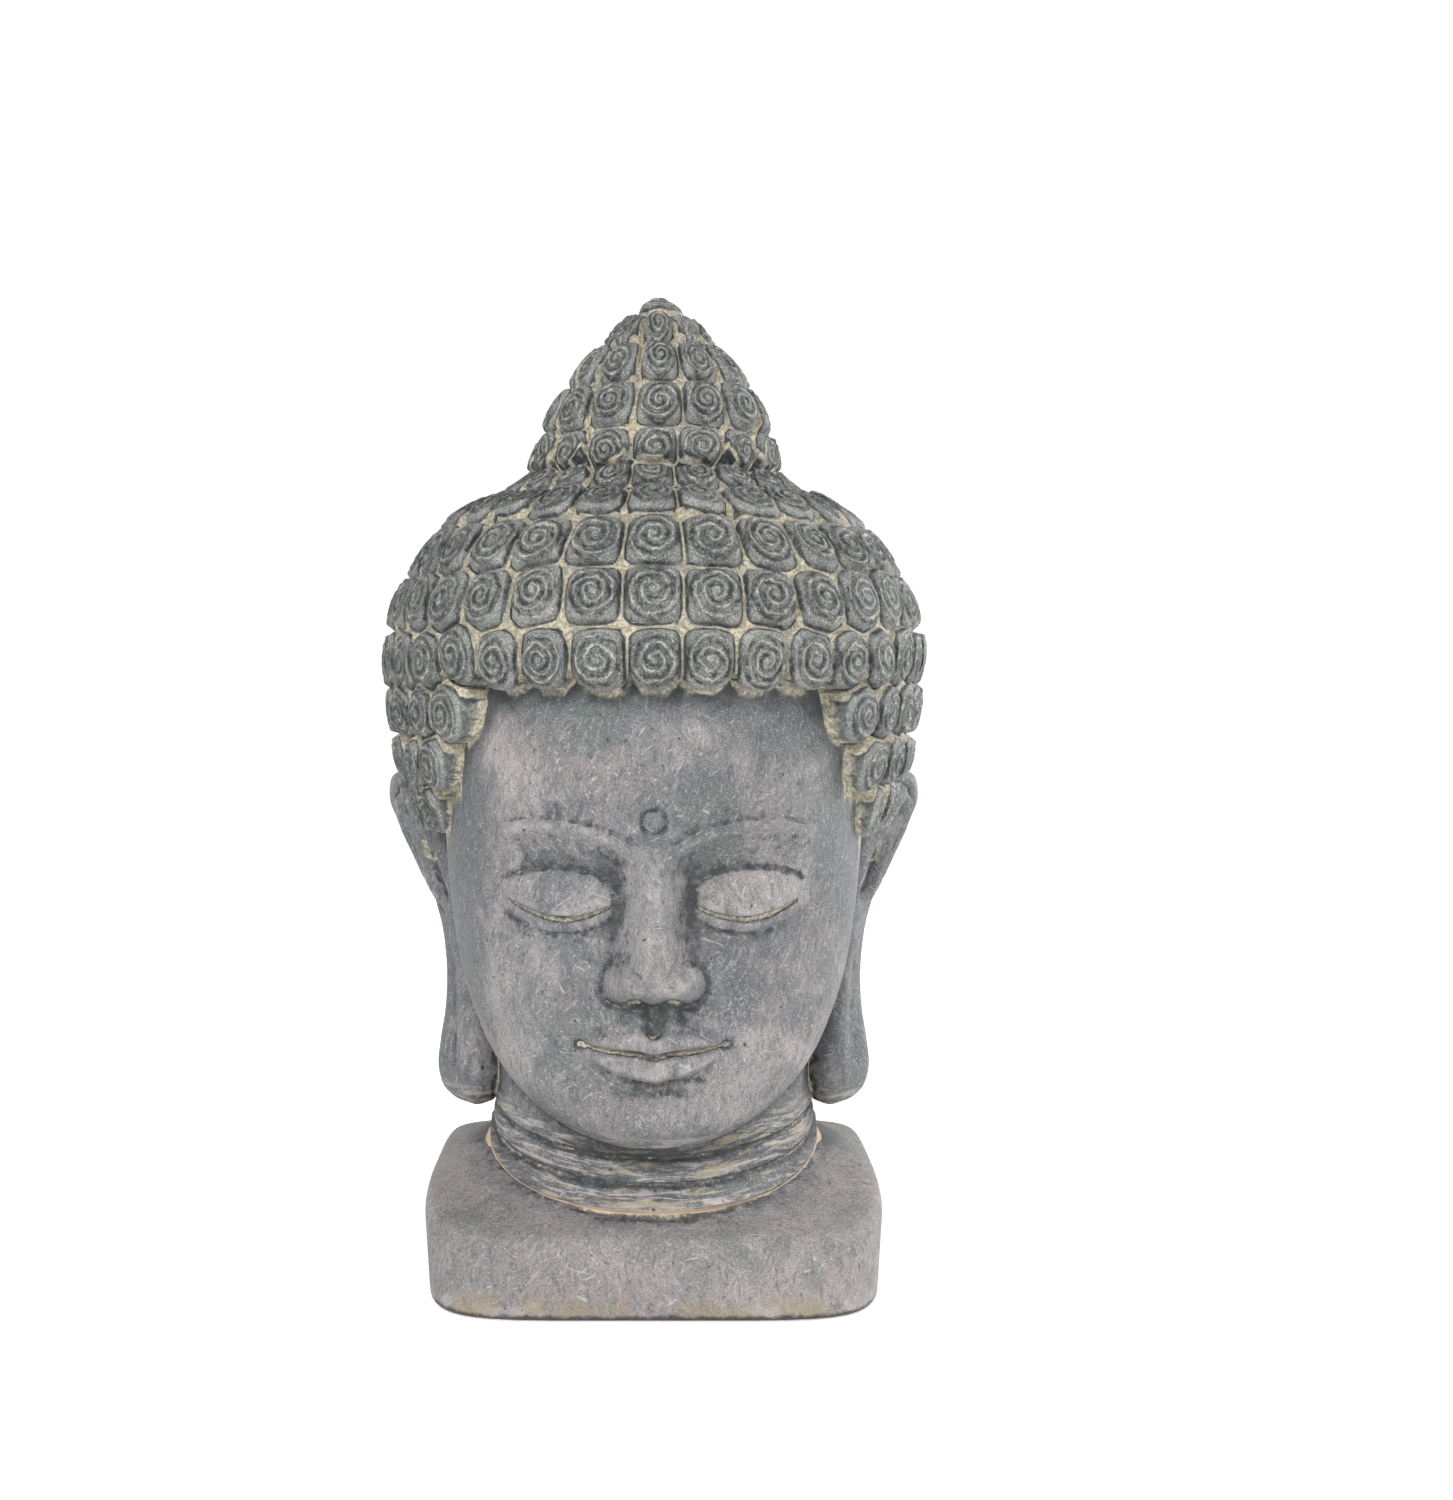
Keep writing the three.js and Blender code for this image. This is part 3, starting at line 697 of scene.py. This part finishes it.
def hollowness(co, normals, areas, size):
    """How far the surface around each point, out to a size, curls up over it. Negative on edges."""
    cell = size / 2
    low = co.min(0) - 6 * cell
    shape = np.ceil((co.max(0) - low) / cell).astype(int) + 7
    sums = np.zeros((4, shape.prod()), np.float32)
    values = np.concatenate([areas[:, None], areas[:, None] * (co - low)], 1)
    corners = list(corner_weights(co, low, cell))
    flat = [np.ravel_multi_index(at.T, shape) for at, _ in corners]
    for channel in range(4):
        for index, (_, share) in zip(flat, corners):
            sums[channel] += np.bincount(index, values[:, channel] * share, shape.prod())
    fields = [blurred(channel.reshape(shape), 2).ravel() for channel in sums]
    picked = [sum(field[index] * share for index, (_, share) in zip(flat, corners))
              for field in fields]
    middle = np.stack(picked[1:], 1) / np.maximum(picked[0], 1e-9)[:, None] + low
    return ((middle - co) * normals).sum(1) / size


# The attributes that hold the surface's hollowness, and how far round a point each looks.
HOLLOW_SIZES = {"hollow_fine": 2.4, "hollow": 5.0, "hollow_wide": 14.0}

# A point outside the neck's foot and below this height is kept clear of the bead by so much.
BEAD_ZONE_TOP = 64.0
CLEAR_OF_BEAD = 20.0


def store(mesh, name, values):
    kind, field = ("FLOAT", "value") if values.ndim == 1 else ("FLOAT_VECTOR", "vector")
    attribute = mesh.attributes.new(name, kind, "POINT")
    attribute.data.foreach_set(field, values.astype(np.float32).ravel())


def mark_surface(mesh, curls):
    """Stores what the stone's finish follows: hollows of three sizes, the hair and its curls."""
    co = positions(mesh) / MM
    normals = gathered(mesh.vertices, "normal", 3).reshape(-1, 3)
    corners = gathered(mesh.loop_triangles, "vertices", 3, int)
    areas = np.repeat(gathered(mesh.loop_triangles, "area"), 3)
    areas = np.bincount(corners, areas, len(co))
    areas /= areas.mean()
    for name, size in HOLLOW_SIZES.items():
        store(mesh, name, hollowness(co, normals, areas, size))
    _, reach, _, place, inside = curl_relief(co - [1, 0, 0] * crown_lean(co[:, 2:]), curls)
    slots = gathered(mesh.polygons, "material_index", kind=int)
    owner = gathered(mesh.loop_triangles, "polygon_index", kind=int)
    hairy = np.array([slot == HAIR_MARK for slot in mesh.materials], float)[slots[owner]]
    touching = np.bincount(corners, minlength=len(co))
    store(mesh, "in_hair", np.bincount(corners, np.repeat(hairy, 3), len(co)) / np.maximum(touching, 1))
    store(mesh, "curl", place)
    store(mesh, "curl_reach", reach)
    store(mesh, "curl_inside", inside)
    front = -co[:, 1] / np.maximum(np.hypot(co[:, 0], co[:, 1]), 1)
    out = np.hypot(co[:, 0] / NECK_HALF, co[:, 1] / np.where(co[:, 1] < 0, NECK_FRONT, NECK_BACK))
    beyond = CLEAR_OF_BEAD * smooth(1.025, 1.06, out) * (co[:, 2] < BEAD_ZONE_TOP)
    store(mesh, "over_bead", co[:, 2] - bead_height(front) - beyond)


def ready_for_finish(mesh):
    """Clears the marks, and leaves one smooth surface for one material."""
    mesh.materials.clear()
    for mark in (HAIR_MARK, BARE_MARK):
        bpy.data.materials.remove(mark)
    mesh.polygons.foreach_set("material_index", np.zeros(len(mesh.polygons), np.int32))
    mesh.polygons.foreach_set("use_smooth", np.ones(len(mesh.polygons), bool))


head.data.calc_loop_triangles()
mark_surface(head.data, curls)
ready_for_finish(head.data)


# -------- material

class Nodes:
    """Short ways to add the shader nodes that the stone is made of."""

    def __init__(self, material):
        material.use_nodes = True
        self.tree = material.node_tree
        self.shader = self.tree.nodes["Principled BSDF"]
        self.place = self.tree.nodes.new("ShaderNodeTexCoord").outputs["Object"]

    def link(self, socket, value):
        if isinstance(value, bpy.types.NodeSocket):
            self.tree.links.new(value, socket)
        else:
            socket.default_value = value

    def texture(self, place, size, detail, distortion, rough):
        node = self.tree.nodes.new("ShaderNodeTexNoise")
        self.link(node.inputs["Vector"], place)
        node.inputs["Scale"].default_value = 1 / size
        node.inputs["Detail"].default_value = detail
        node.inputs["Roughness"].default_value = rough
        node.inputs["Distortion"].default_value = distortion
        return node.outputs

    def mapped(self, place, stretch, turned=(0, 0, 0), offset=0.0):
        mapping = self.tree.nodes.new("ShaderNodeMapping")
        mapping.vector_type = "TEXTURE"
        mapping.inputs["Scale"].default_value = stretch
        mapping.inputs["Rotation"].default_value = [math.radians(a) for a in turned]
        mapping.inputs["Location"].default_value = (offset, offset, offset)
        self.link(mapping.inputs["Vector"], place)
        return mapping.outputs["Vector"]

    def bend(self, size, reach):
        """The place, drifting to and fro by up to a reach, so that strokes wander."""
        colour = self.texture(self.place, size, 2.0, 0.0, 0.5)["Color"]
        drift = self.vector("SUBTRACT", colour, (0.5,) * 3)
        return self.vector("ADD", self.place, self.vector("MULTIPLY", drift, (2 * reach,) * 3))

    def noise(self, size, detail=4.0, rough=0.5, offset=0.0, distortion=0.0):
        """Noise with features of the given size in metres."""
        place = self.mapped(self.place, (1, 1, 1), offset=offset)
        return self.texture(place, size, detail, distortion, rough)["Fac"]

    def strokes(self, place, size, long, detail, rough, turned=(0, 0, 0), offset=0.0):
        """Noise drawn out along the height, turned from it by angles in degrees. With a negative
        length it is drawn out on the level instead."""
        stretch = (1, 1, long) if long > 0 else (-long, -long, 1)
        place = self.mapped(place, stretch, turned, offset)
        return self.texture(place, size, detail, 0.0, rough)["Fac"]

    def vector(self, operation, a, b):
        node = self.tree.nodes.new("ShaderNodeVectorMath")
        node.operation = operation
        self.link(node.inputs[0], a)
        self.link(node.inputs[1], b)
        return node.outputs["Vector"]

    def attribute(self, name):
        node = self.tree.nodes.new("ShaderNodeAttribute")
        node.attribute_name = name
        return node.outputs["Fac"]

    def parts(self, name):
        """The three parts of a vector attribute."""
        node = self.tree.nodes.new("ShaderNodeAttribute")
        node.attribute_name = name
        split = self.tree.nodes.new("ShaderNodeSeparateXYZ")
        self.link(split.inputs["Vector"], node.outputs["Vector"])
        return list(split.outputs)

    def seams(self):
        """How far from the nearest seam between two curls, as a share of a curl."""
        x, y, z = [self.math("ABSOLUTE", part) for part in self.parts("curl_inside")]
        return self.math("MINIMUM", self.math("MINIMUM", x, y), z)

    def step(self, value, low, high, to_low=0.0, to_high=1.0):
        """A soft step from to_low to to_high as the value goes from low to high."""
        node = self.tree.nodes.new("ShaderNodeMapRange")
        node.interpolation_type = "SMOOTHSTEP"
        limits = {"From Min": low, "From Max": high, "To Min": to_low, "To Max": to_high}
        for socket, number in limits.items():
            node.inputs[socket].default_value = number
        self.link(node.inputs["Value"], value)
        return node.outputs["Result"]

    def math(self, operation, a, b=0.0, clamp=False):
        node = self.tree.nodes.new("ShaderNodeMath")
        node.operation = operation
        node.use_clamp = clamp
        self.link(node.inputs[0], a)
        self.link(node.inputs[1], b)
        return node.outputs["Value"]

    def times(self, first, *others):
        for other in others:
            first = self.math("MULTIPLY", first, other)
        return first

    def plus(self, first, *others):
        for other in others:
            first = self.math("ADD", first, other)
        return first

    def larger(self, first, *others):
        for other in others:
            first = self.math("MAXIMUM", first, other)
        return first

    def off_middle(self, noise):
        """How far a noise is above its middle, or below it when negative."""
        return self.math("SUBTRACT", noise, 0.5)

    def paint(self, body, share, colour):
        """The body's colour with a share of another laid over it."""
        return self.mix(share, body, COLOURS[colour] if isinstance(colour, str) else colour)

    def mix(self, share, a, b):
        node = self.tree.nodes.new("ShaderNodeMix")
        node.data_type = "RGBA"
        self.link(node.inputs["Factor"], share)
        self.link(node.inputs["A"], a)
        self.link(node.inputs["B"], b)
        return node.outputs["Result"]

    def axis(self, name):
        """The place along an axis of the object."""
        node = self.tree.nodes.new("ShaderNodeSeparateXYZ")
        self.link(node.inputs["Vector"], self.place)
        return node.outputs[name]

    def bump(self, height, distance, strength=1.0, normal=None):
        node = self.tree.nodes.new("ShaderNodeBump")
        node.inputs["Distance"].default_value = distance
        node.inputs["Strength"].default_value = strength
        self.link(node.inputs["Height"], height)
        if normal is not None:
            self.link(node.inputs["Normal"], normal)
        return node.outputs["Normal"]


def shade(hex_colour):
    """A linear colour from its usual hexadecimal form."""
    channels = [int(hex_colour[k:k + 2], 16) / 255 for k in (0, 2, 4)]
    return [c / 12.92 if c <= 0.04045 else ((c + 0.055) / 1.055) ** 2.4 for c in channels] + [1.0]


COLOURS = {name: shade(code) for name, code in {
    "ground": "767273", "pale ground": "9b9595", "cool ground": "74797b", "block": "918a89",
    "wash": "4a5156", "green wash": "59635b", "hair": "767b74", "pale hair": "969a8f",
    "pale stroke": "b9b4b1", "white stroke": "c2bdb9",
    "dark stroke": "3a4042", "thin dark stroke": "3f4548",
    "dark grain": "2f3436", "pale grain": "cfcac6", "scratch": "c4bfba",
    "neck shade": "31363a", "neck ochre": "b0a385", "neck grey": "b9b3b1",
    "groove": "23292b", "ridge": "b9baae", "crease shade": "20262a",
    "old residue": "8f8a76", "residue": "c8bea4", "bead": "c9b094",
    "flank": "2f3536", "deep": "2b3032", "rubbed": "aeaaa8",
    "damp": "8d7f5d", "foot": "24211d", "pinhole": "1f2325",
    "floor": "f4f4f3", "wall": "000000",
}.items()}

# Broad swaths of wash: how each is turned, and its noise's offset.
SWATHS = [((0, 35, 0), 2.9), ((15, -40, 0), 8.8)]

# Dry-brushed strokes: size, turn, offset, where the noise begins to show, share and colour.
BRUSHED = [
    (0.0016, (0, 14, 0), 6.1, 0.56, 0.28, "pale stroke"),
    (0.0013, (24, -38, 0), 2.7, 0.59, 0.26, "white stroke"),
    (0.0017, (0, -10, 0), 1.9, 0.54, 0.40, "dark stroke"),
    (0.0012, (-20, 42, 0), 3.9, 0.57, 0.36, "thin dark stroke"),
]

# Thin scratches: turn and offset.
SCRATCHES = [((0, 52, 0), 5.7), ((0, -63, 0), 3.3)]

# Level streaks on the neck: size, offset, where the noise begins to show, share and colour.
NECK_STREAKS = [
    (0.0026, 1.1, 0.51, 0.56, "neck shade"),
    (0.0020, 6.9, 0.53, 0.66, "neck ochre"),
    (0.0017, 9.9, 0.52, 0.64, "neck grey"),
]


class Surface:
    """What the stone's coats of colour share: the mesh's attributes and the common noises."""

    def __init__(self, n):
        names = ("hollow_fine", "hollow", "hollow_wide", "in_hair", "curl_reach", "over_bead")
        attributes = [n.attribute(name) for name in names]
        self.fine, self.hollow, self.wide, self.hair, self.reach, self.over_bead = attributes
        self.seam = n.seams()
        self.wave, self.on_curl = curl_lines(n, self.hair, self.seam)
        self.bent = n.bend(0.05, 0.018)
        self.level = n.bend(0.05, 0.004)
        self.bare = n.step(self.hair, 0, 1, 1.0, 0.0)
        self.on_block = n.step(self.over_bead, 0.0, -4.0)
        self.streaks = n.strokes(self.bent, 0.0036, 4.5, 4, 0.70, offset=4.4)
        self.grain = n.noise(0.0007, 2, 0.60)
        self.patchy = n.noise(0.0050, 4, 0.70, 5.0)
        self.ragged = n.off_middle(n.noise(0.005, 4, 0.68, 1.3))
        self.crumbled = n.off_middle(n.noise(0.0016, 2, 0.6, 4.1))
        self.laid = self.wash_and_shade_depth(n)

    def wash_and_shade_depth(self, n):
        """How thickly the wash is laid: in patches and swaths, deeper in broad hollows, and deeper at
        the sides and under the chin, where it is partly wash and partly painted shade."""
        patches = n.noise(0.045, 6, 0.62, 7.7, distortion=0.4)
        laid = n.plus(patches, n.times(n.off_middle(self.streaks), 0.36))
        for turned, offset in SWATHS:
            swath = n.strokes(self.bent, 0.007, 4, 4, 0.66, turned, offset)
            laid = n.plus(laid, n.times(n.off_middle(swath), 0.34))
        # Painted shade, partly wash: deeper where the head turns away at the sides.
        sides = n.step(n.math("ABSOLUTE", n.axis("X")), 0.066, 0.092)
        sides = n.times(sides, n.step(n.axis("Z"), 0.055, 0.08))
        upper = n.step(n.axis("Z"), 0.16, 0.25, 0.0, 0.06)
        laid = n.plus(laid, n.times(n.step(self.wide, -0.12, 0.22), 0.14), n.times(sides, 0.17), upper)
        # Painted shade under the chin, partly wash, kept off the block.
        shade_under_chin = n.times(n.step(n.axis("Z"), 0.088, 0.074), n.step(n.axis("Y"), -0.06, -0.08))
        return n.plus(laid, n.times(n.math("SUBTRACT", shade_under_chin, self.on_block, True), 0.13))


def curl_lines(n, hair, seam):
    """The groove of every curl's spiral, drawn finely from its place in the curl."""
    u, v, turns = n.parts("curl")
    round_ = n.math("SQRT", n.plus(n.times(u, u), n.times(v, v)))
    angle = n.math("ARCTAN2", v, u)
    wobble = n.times(n.off_middle(n.noise(0.007, 5, 0.76, 2.2)), 1.8)
    phase = n.math("SUBTRACT", n.times(round_, turns), n.times(angle, 1 / TURN))
    wave = n.math("COSINE", n.times(n.plus(phase, wobble), TURN))
    inside = n.times(n.step(round_, 0.05, 0.16), n.step(round_, 0.86, 0.96, 1.0, 0.0))
    return wave, n.times(inside, n.step(seam, 0.10, 0.22), hair)


def ground_and_wash(n, on):
    """Lilac-grey ground with cooler and paler drifts, warmest on the block, under a blue-grey wash
    that also carries painted shade at the sides and under the chin, and, on the hair, a greener grey."""
    drift = n.step(n.noise(0.045, 5, 0.62), 0.36, 0.66)
    body = n.mix(drift, COLOURS["ground"], COLOURS["pale ground"])
    cool = n.step(n.noise(0.06, 4, offset=3.1), 0.44, 0.66)
    body = n.paint(body, n.times(cool, 0.50), "cool ground")
    body = n.paint(body, n.times(on.on_block, 0.60), "block")
    # The wash, with the painted shade at the sides and under the chin that its depth holds.
    wash = n.times(n.step(on.laid, 0.40, 0.72), n.step(on.on_block, 0, 1, 0.80, 0.42))
    body = n.paint(body, wash, "wash")
    greenish = n.times(n.step(n.noise(0.05, 3, offset=9.0), 0.45, 0.7), n.step(on.laid, 0.48, 0.6))
    body = n.paint(body, n.times(greenish, 0.40), "green wash")
    hair_grey = n.mix(drift, COLOURS["hair"], COLOURS["pale hair"])
    return n.paint(body, n.times(on.hair, 0.50), hair_grey)


def brushwork(n, on, body):
    """Dry-brushed strokes in several directions, fine grain, thin pale scratches over the bare
    stone, and a neck streaked dark and ochre along its folds."""
    for size, turned, offset, low, share, colour in BRUSHED:
        drawn = n.step(n.strokes(on.bent, size, 6, 3, 0.62, turned, offset), low, low + 0.10)
        body = n.paint(body, n.times(drawn, share), colour)
    dark = n.times(n.step(on.grain, 0.50, 0.68), n.step(on.hair, 0, 1, 0.42, 0.62))
    body = n.paint(body, dark, "dark grain")
    pale = n.times(n.step(on.grain, 0.48, 0.32), n.step(on.hair, 0, 1, 0.18, 0.42))
    body = n.paint(body, pale, "pale grain")
    for turned, offset in SCRATCHES:
        noise = n.strokes(on.bent, 0.0013, 26, 2, 0.5, turned, offset)
        scratch = n.step(noise, 0.66, 0.72, 0.0, 0.45)
        body = n.paint(body, n.times(scratch, on.bare), "scratch")
    on_neck = n.times(n.step(on.over_bead, -0.5, 1.0), n.step(n.axis("Z"), 0.083, 0.070), on.bare)
    for size, offset, low, share, colour in NECK_STREAKS:
        noise = n.strokes(on.level, size, -11, 3, 0.66, offset=offset)
        body = n.paint(body, n.times(n.step(noise, low, low + 0.09), share, on_neck), colour)
    return body


def spirals(n, on, body):
    """The spirals: painted shade and dark wash in the grooves, painted highlight and dry-brushing on
    the ridges.
    """
    # Painted shade, with dark wash, along the spiral grooves.
    groove = n.times(n.step(on.wave, 0.10, -0.80), on.on_curl)
    groove = n.times(groove, n.step(on.patchy, 0.62, 0.40, 0.20, 0.95))
    body = n.paint(body, groove, "groove")
    # Painted highlight, with dry-brushing, along the spiral ridges.
    ridge = n.times(n.step(on.wave, 0.70, 1.0), on.on_curl)
    return n.paint(body, n.times(ridge, n.step(on.patchy, 0.46, 0.58, 0.02, 0.72)), "ridge")


def residue_and_shade(n, on, body):
    """Pale residue in the hollows, between the curls and under the bead; painted shade as dark lines
    beside it in the creases and seams, painted shade with dark wash round the flank of the hair,
    and painted shade in the deep angles where forms meet."""
    edge = n.plus(on.fine, n.times(on.ragged, 0.34), n.times(on.crumbled, 0.16))
    between = n.math("SUBTRACT", on.seam, n.step(on.reach, 1.02, 1.10, 0.0, 0.18))
    between = n.plus(between, n.times(on.ragged, 0.22), n.times(on.crumbled, 0.14))
    # Painted shade: dark lines in the creases beside the residue and along the seams between curls.
    crease_shade_bare = n.times(n.step(edge, 0.00, 0.13), n.step(edge, 0.34, 0.20))
    crease_shade_hair = n.times(n.step(between, 0.34, 0.18), n.step(between, 0.05, 0.11))
    crease_shade = n.mix(on.hair, crease_shade_bare, crease_shade_hair)
    crease_shade = n.times(crease_shade, n.step(on.patchy, 0.38, 0.58, 0.45, 0.95))
    body = n.paint(body, crease_shade, "crease shade")

    pools = n.plus(on.hollow, n.times(on.ragged, 0.34))
    from_bead = n.plus(on.over_bead, n.times(on.ragged, 1.6))
    under_bead = n.times(n.step(from_bead, -3.2, -2.4), n.step(from_bead, 0.2, -0.6))
    pooled = n.step(pools, 0.20, 0.38, 0.0, 0.6)
    on_bare = n.larger(n.step(edge, 0.19, 0.31), pooled, under_bead)
    hairline = n.times(n.step(on.hair, 0.08, 0.35), n.step(on.hair, 0.98, 0.72))
    residue = n.mix(on.hair, on_bare, n.step(between, 0.105, 0.050))
    residue = n.larger(residue, n.times(hairline, n.step(on.ragged, -0.12, 0.02, 0.3, 1.0)))
    kept = n.larger(n.step(n.noise(0.016, 3, offset=8.3), 0.32, 0.52, 0.35, 1.0), under_bead)
    age = n.step(on.crumbled, -0.10, 0.12)
    cream = n.mix(age, COLOURS["old residue"], COLOURS["residue"])
    cream = n.paint(cream, under_bead, "bead")
    body = n.paint(body, n.times(residue, kept, 0.90), cream)

    clean = n.math("SUBTRACT", 1.0, residue)
    # Painted shade, with dark wash, on the flank where the hair steps in behind the face.
    flank = n.times(n.step(on.reach, 1.02, 1.10), n.step(on.seam, 0.15, 0.3), on.hair)
    flank = n.times(flank, n.step(n.noise(0.0030, 3, 0.6, 7.1), 0.42, 0.58, 0.25, 0.75))
    body = n.paint(body, n.times(flank, clean), "flank")
    # Painted shade in broad hollows and in the deep angles where forms meet, less on the hair.
    deep = n.step(n.plus(on.wide, n.times(on.ragged, 0.30)), 0.06, 0.36)
    deep = n.times(deep, n.step(on.hair, 0, 1, 0.75, 0.25))
    return n.paint(body, n.times(deep, clean), "deep")


def wear(n, on, body):
    """Rubbed edges, yellow-brown damp stains at the block's foot above a black line, and black
    pinholes."""
    rubbed = n.times(n.step(on.hollow, -0.16, -0.34), n.step(n.noise(0.007, 4), 0.44, 0.60))
    body = n.paint(body, n.times(rubbed, n.step(on.hair, 0, 1, 0.40, 0.12)), "rubbed")
    height = n.plus(n.axis("Z"), n.times(on.ragged, 0.016))
    stain = n.times(n.step(height, 0.016, 0.004), n.step(n.noise(0.02, 3, offset=6.6), 0.42, 0.58))
    body = n.paint(body, n.times(stain, 0.55), "damp")
    foot = n.step(n.plus(n.axis("Z"), n.times(on.ragged, 0.005)), 0.0036, 0.0016)
    body = n.paint(body, n.times(foot, 0.85), "foot")
    pinholes = n.step(n.noise(0.0038, 2, 0.4, 12.5), 0.735, 0.765)
    return n.paint(body, n.times(pinholes, 0.85), "pinhole")


def weathered_stone():
    """Grey cast stone: patchy dark wash, pale residue in the hollows, rubbed edges, fine grain,
    painted shade in grooves, creases and angles, and painted highlight on the spiral ridges.
    """
    material = bpy.data.materials.new("cast_stone")
    n = Nodes(material)
    on = Surface(n)
    body = ground_and_wash(n, on)
    for coat in (brushwork, spirals, residue_and_shade, wear):
        body = coat(n, on, body)
    n.link(n.shader.inputs["Base Color"], body)
    n.link(n.shader.inputs["Roughness"], n.step(on.laid, 0.45, 0.70, 0.80, 0.60))
    coarse = n.bump(n.noise(0.012, 4, 0.6), 0.0012, 0.6)
    drawn = n.bump(n.times(on.wave, on.on_curl), 0.0007, 1.0, coarse)
    brushed = n.bump(on.streaks, 0.0008, 0.6, drawn)
    n.link(n.shader.inputs["Normal"], n.bump(on.grain, 0.0004, 0.9, brushed))
    return material


head.data.materials.append(weathered_stone())
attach(head, "root")
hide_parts(NODE)


# -------- floor, lights and camera

# The camera stands level with the temples, straight in front, and the head sits a little above
# and to the left of the middle of the frame.
CAMERA_AWAY = 0.850
CAMERA_HEIGHT = 0.282
CAMERA_LENS = 40.6
CAMERA_SHIFT = (0.0487, -0.053)
SENSOR_WIDTH = 36.0
STUDIO_AIM = Vector((0, 0, 0.24))

# The round stage, and how brightly it glows at its near and its far side.
FLOOR_SIDES = 48
FLOOR_START = 1.5
FLOOR_REACH = 3.0
FLOOR_BEND = 1.5
FLOOR_BEND_STEPS = 13
WALL_HEIGHT = 6.0
GLOW_NEAR, GLOW_FAR = -1.5, 2.0
FLOOR_GLOW = (0.08, 0.80)
WALL_GLOW = (0.62, 1.02)
STAGE_ROUGHNESS = 0.9

# Lights: place, size and watts.
WORLD_STRENGTH = 0.16
LIGHTS = {
    "key": ((-0.55, -1.4, 1.2), 0.6, 21.5),
    "fill": ((0.9, -1.5, 0.6), 0.8, 8),
    "rim": ((1.2, 0.5, 0.6), 0.5, 12),
}


def glowing(name, glow):
    """A matt material of the stage, glowing more towards the far side."""
    material = bpy.data.materials.new(name)
    n = Nodes(material)
    n.shader.inputs["Base Color"].default_value = COLOURS[name]
    n.shader.inputs["Roughness"].default_value = STAGE_ROUGHNESS
    n.shader.inputs["Emission Color"].default_value = (1, 1, 1, 1)
    n.link(n.shader.inputs["Emission Strength"], n.step(n.axis("Y"), GLOW_NEAR, GLOW_FAR, *glow))
    return material


def add_floor():
    """A pale round floor that curves up into a wall all round, dimmer on the camera's side."""
    bend = np.linspace(0, math.pi / 2, FLOOR_BEND_STEPS)
    reach = np.concatenate([[FLOOR_START], FLOOR_REACH + FLOOR_BEND * np.sin(bend)])
    height = np.concatenate([[0], FLOOR_BEND * (1 - np.cos(bend))])
    reach, height = np.append(reach, reach[-1]), np.append(height, WALL_HEIGHT)
    angles = around(FLOOR_SIDES)
    p = np.stack([np.outer(reach, np.sin(angles)), -np.outer(reach, np.cos(angles)),
                  np.repeat(height[:, None], FLOOR_SIDES, 1)], 2)
    faces = [list(range(FLOOR_SIDES))]
    for low in range(0, FLOOR_SIDES * (len(reach) - 1), FLOOR_SIDES):
        high = low + FLOOR_SIDES
        for j in range(FLOOR_SIDES):
            after = (j + 1) % FLOOR_SIDES
            faces.append((low + j, high + j, high + after, low + after))
    mesh = bpy.data.meshes.new("floor")
    mesh.from_pydata(p.reshape(-1, 3).tolist(), [], faces)
    for name, glow in ("floor", FLOOR_GLOW), ("wall", WALL_GLOW):
        mesh.materials.append(glowing(name, glow))
    for polygon in mesh.polygons[1:]:
        polygon.material_index = 1
        polygon.use_smooth = True
    floor = add_object("floor", mesh)


def add_light(name, place, size, watts):
    light = bpy.data.lights.new(name, "AREA")
    light.size = size
    light.energy = watts
    lamp = add_object(name, light)
    lamp.location = place
    lamp.rotation_euler = (STUDIO_AIM - Vector(place)).to_track_quat("-Z", "Y").to_euler()


def add_world(strength):
    world = bpy.data.worlds.new("studio")
    bpy.context.scene.world = world
    world.use_nodes = True
    world.node_tree.nodes["Background"].inputs["Color"].default_value = (1, 1, 1, 1)
    world.node_tree.nodes["Background"].inputs["Strength"].default_value = strength


def add_camera():
    data = bpy.data.cameras.new("camera")
    data.lens = CAMERA_LENS
    data.sensor_width = SENSOR_WIDTH
    data.shift_x, data.shift_y = CAMERA_SHIFT
    camera = add_object("camera", data)
    camera.location = (0, -CAMERA_AWAY, CAMERA_HEIGHT)
    camera.rotation_euler = (math.radians(90), 0, 0)
    bpy.context.scene.camera = camera


bpy.context.scene.view_settings.view_transform = "Standard"
add_floor()
add_world(WORLD_STRENGTH)
for name, light in LIGHTS.items():
    add_light(name, *light)
add_camera()
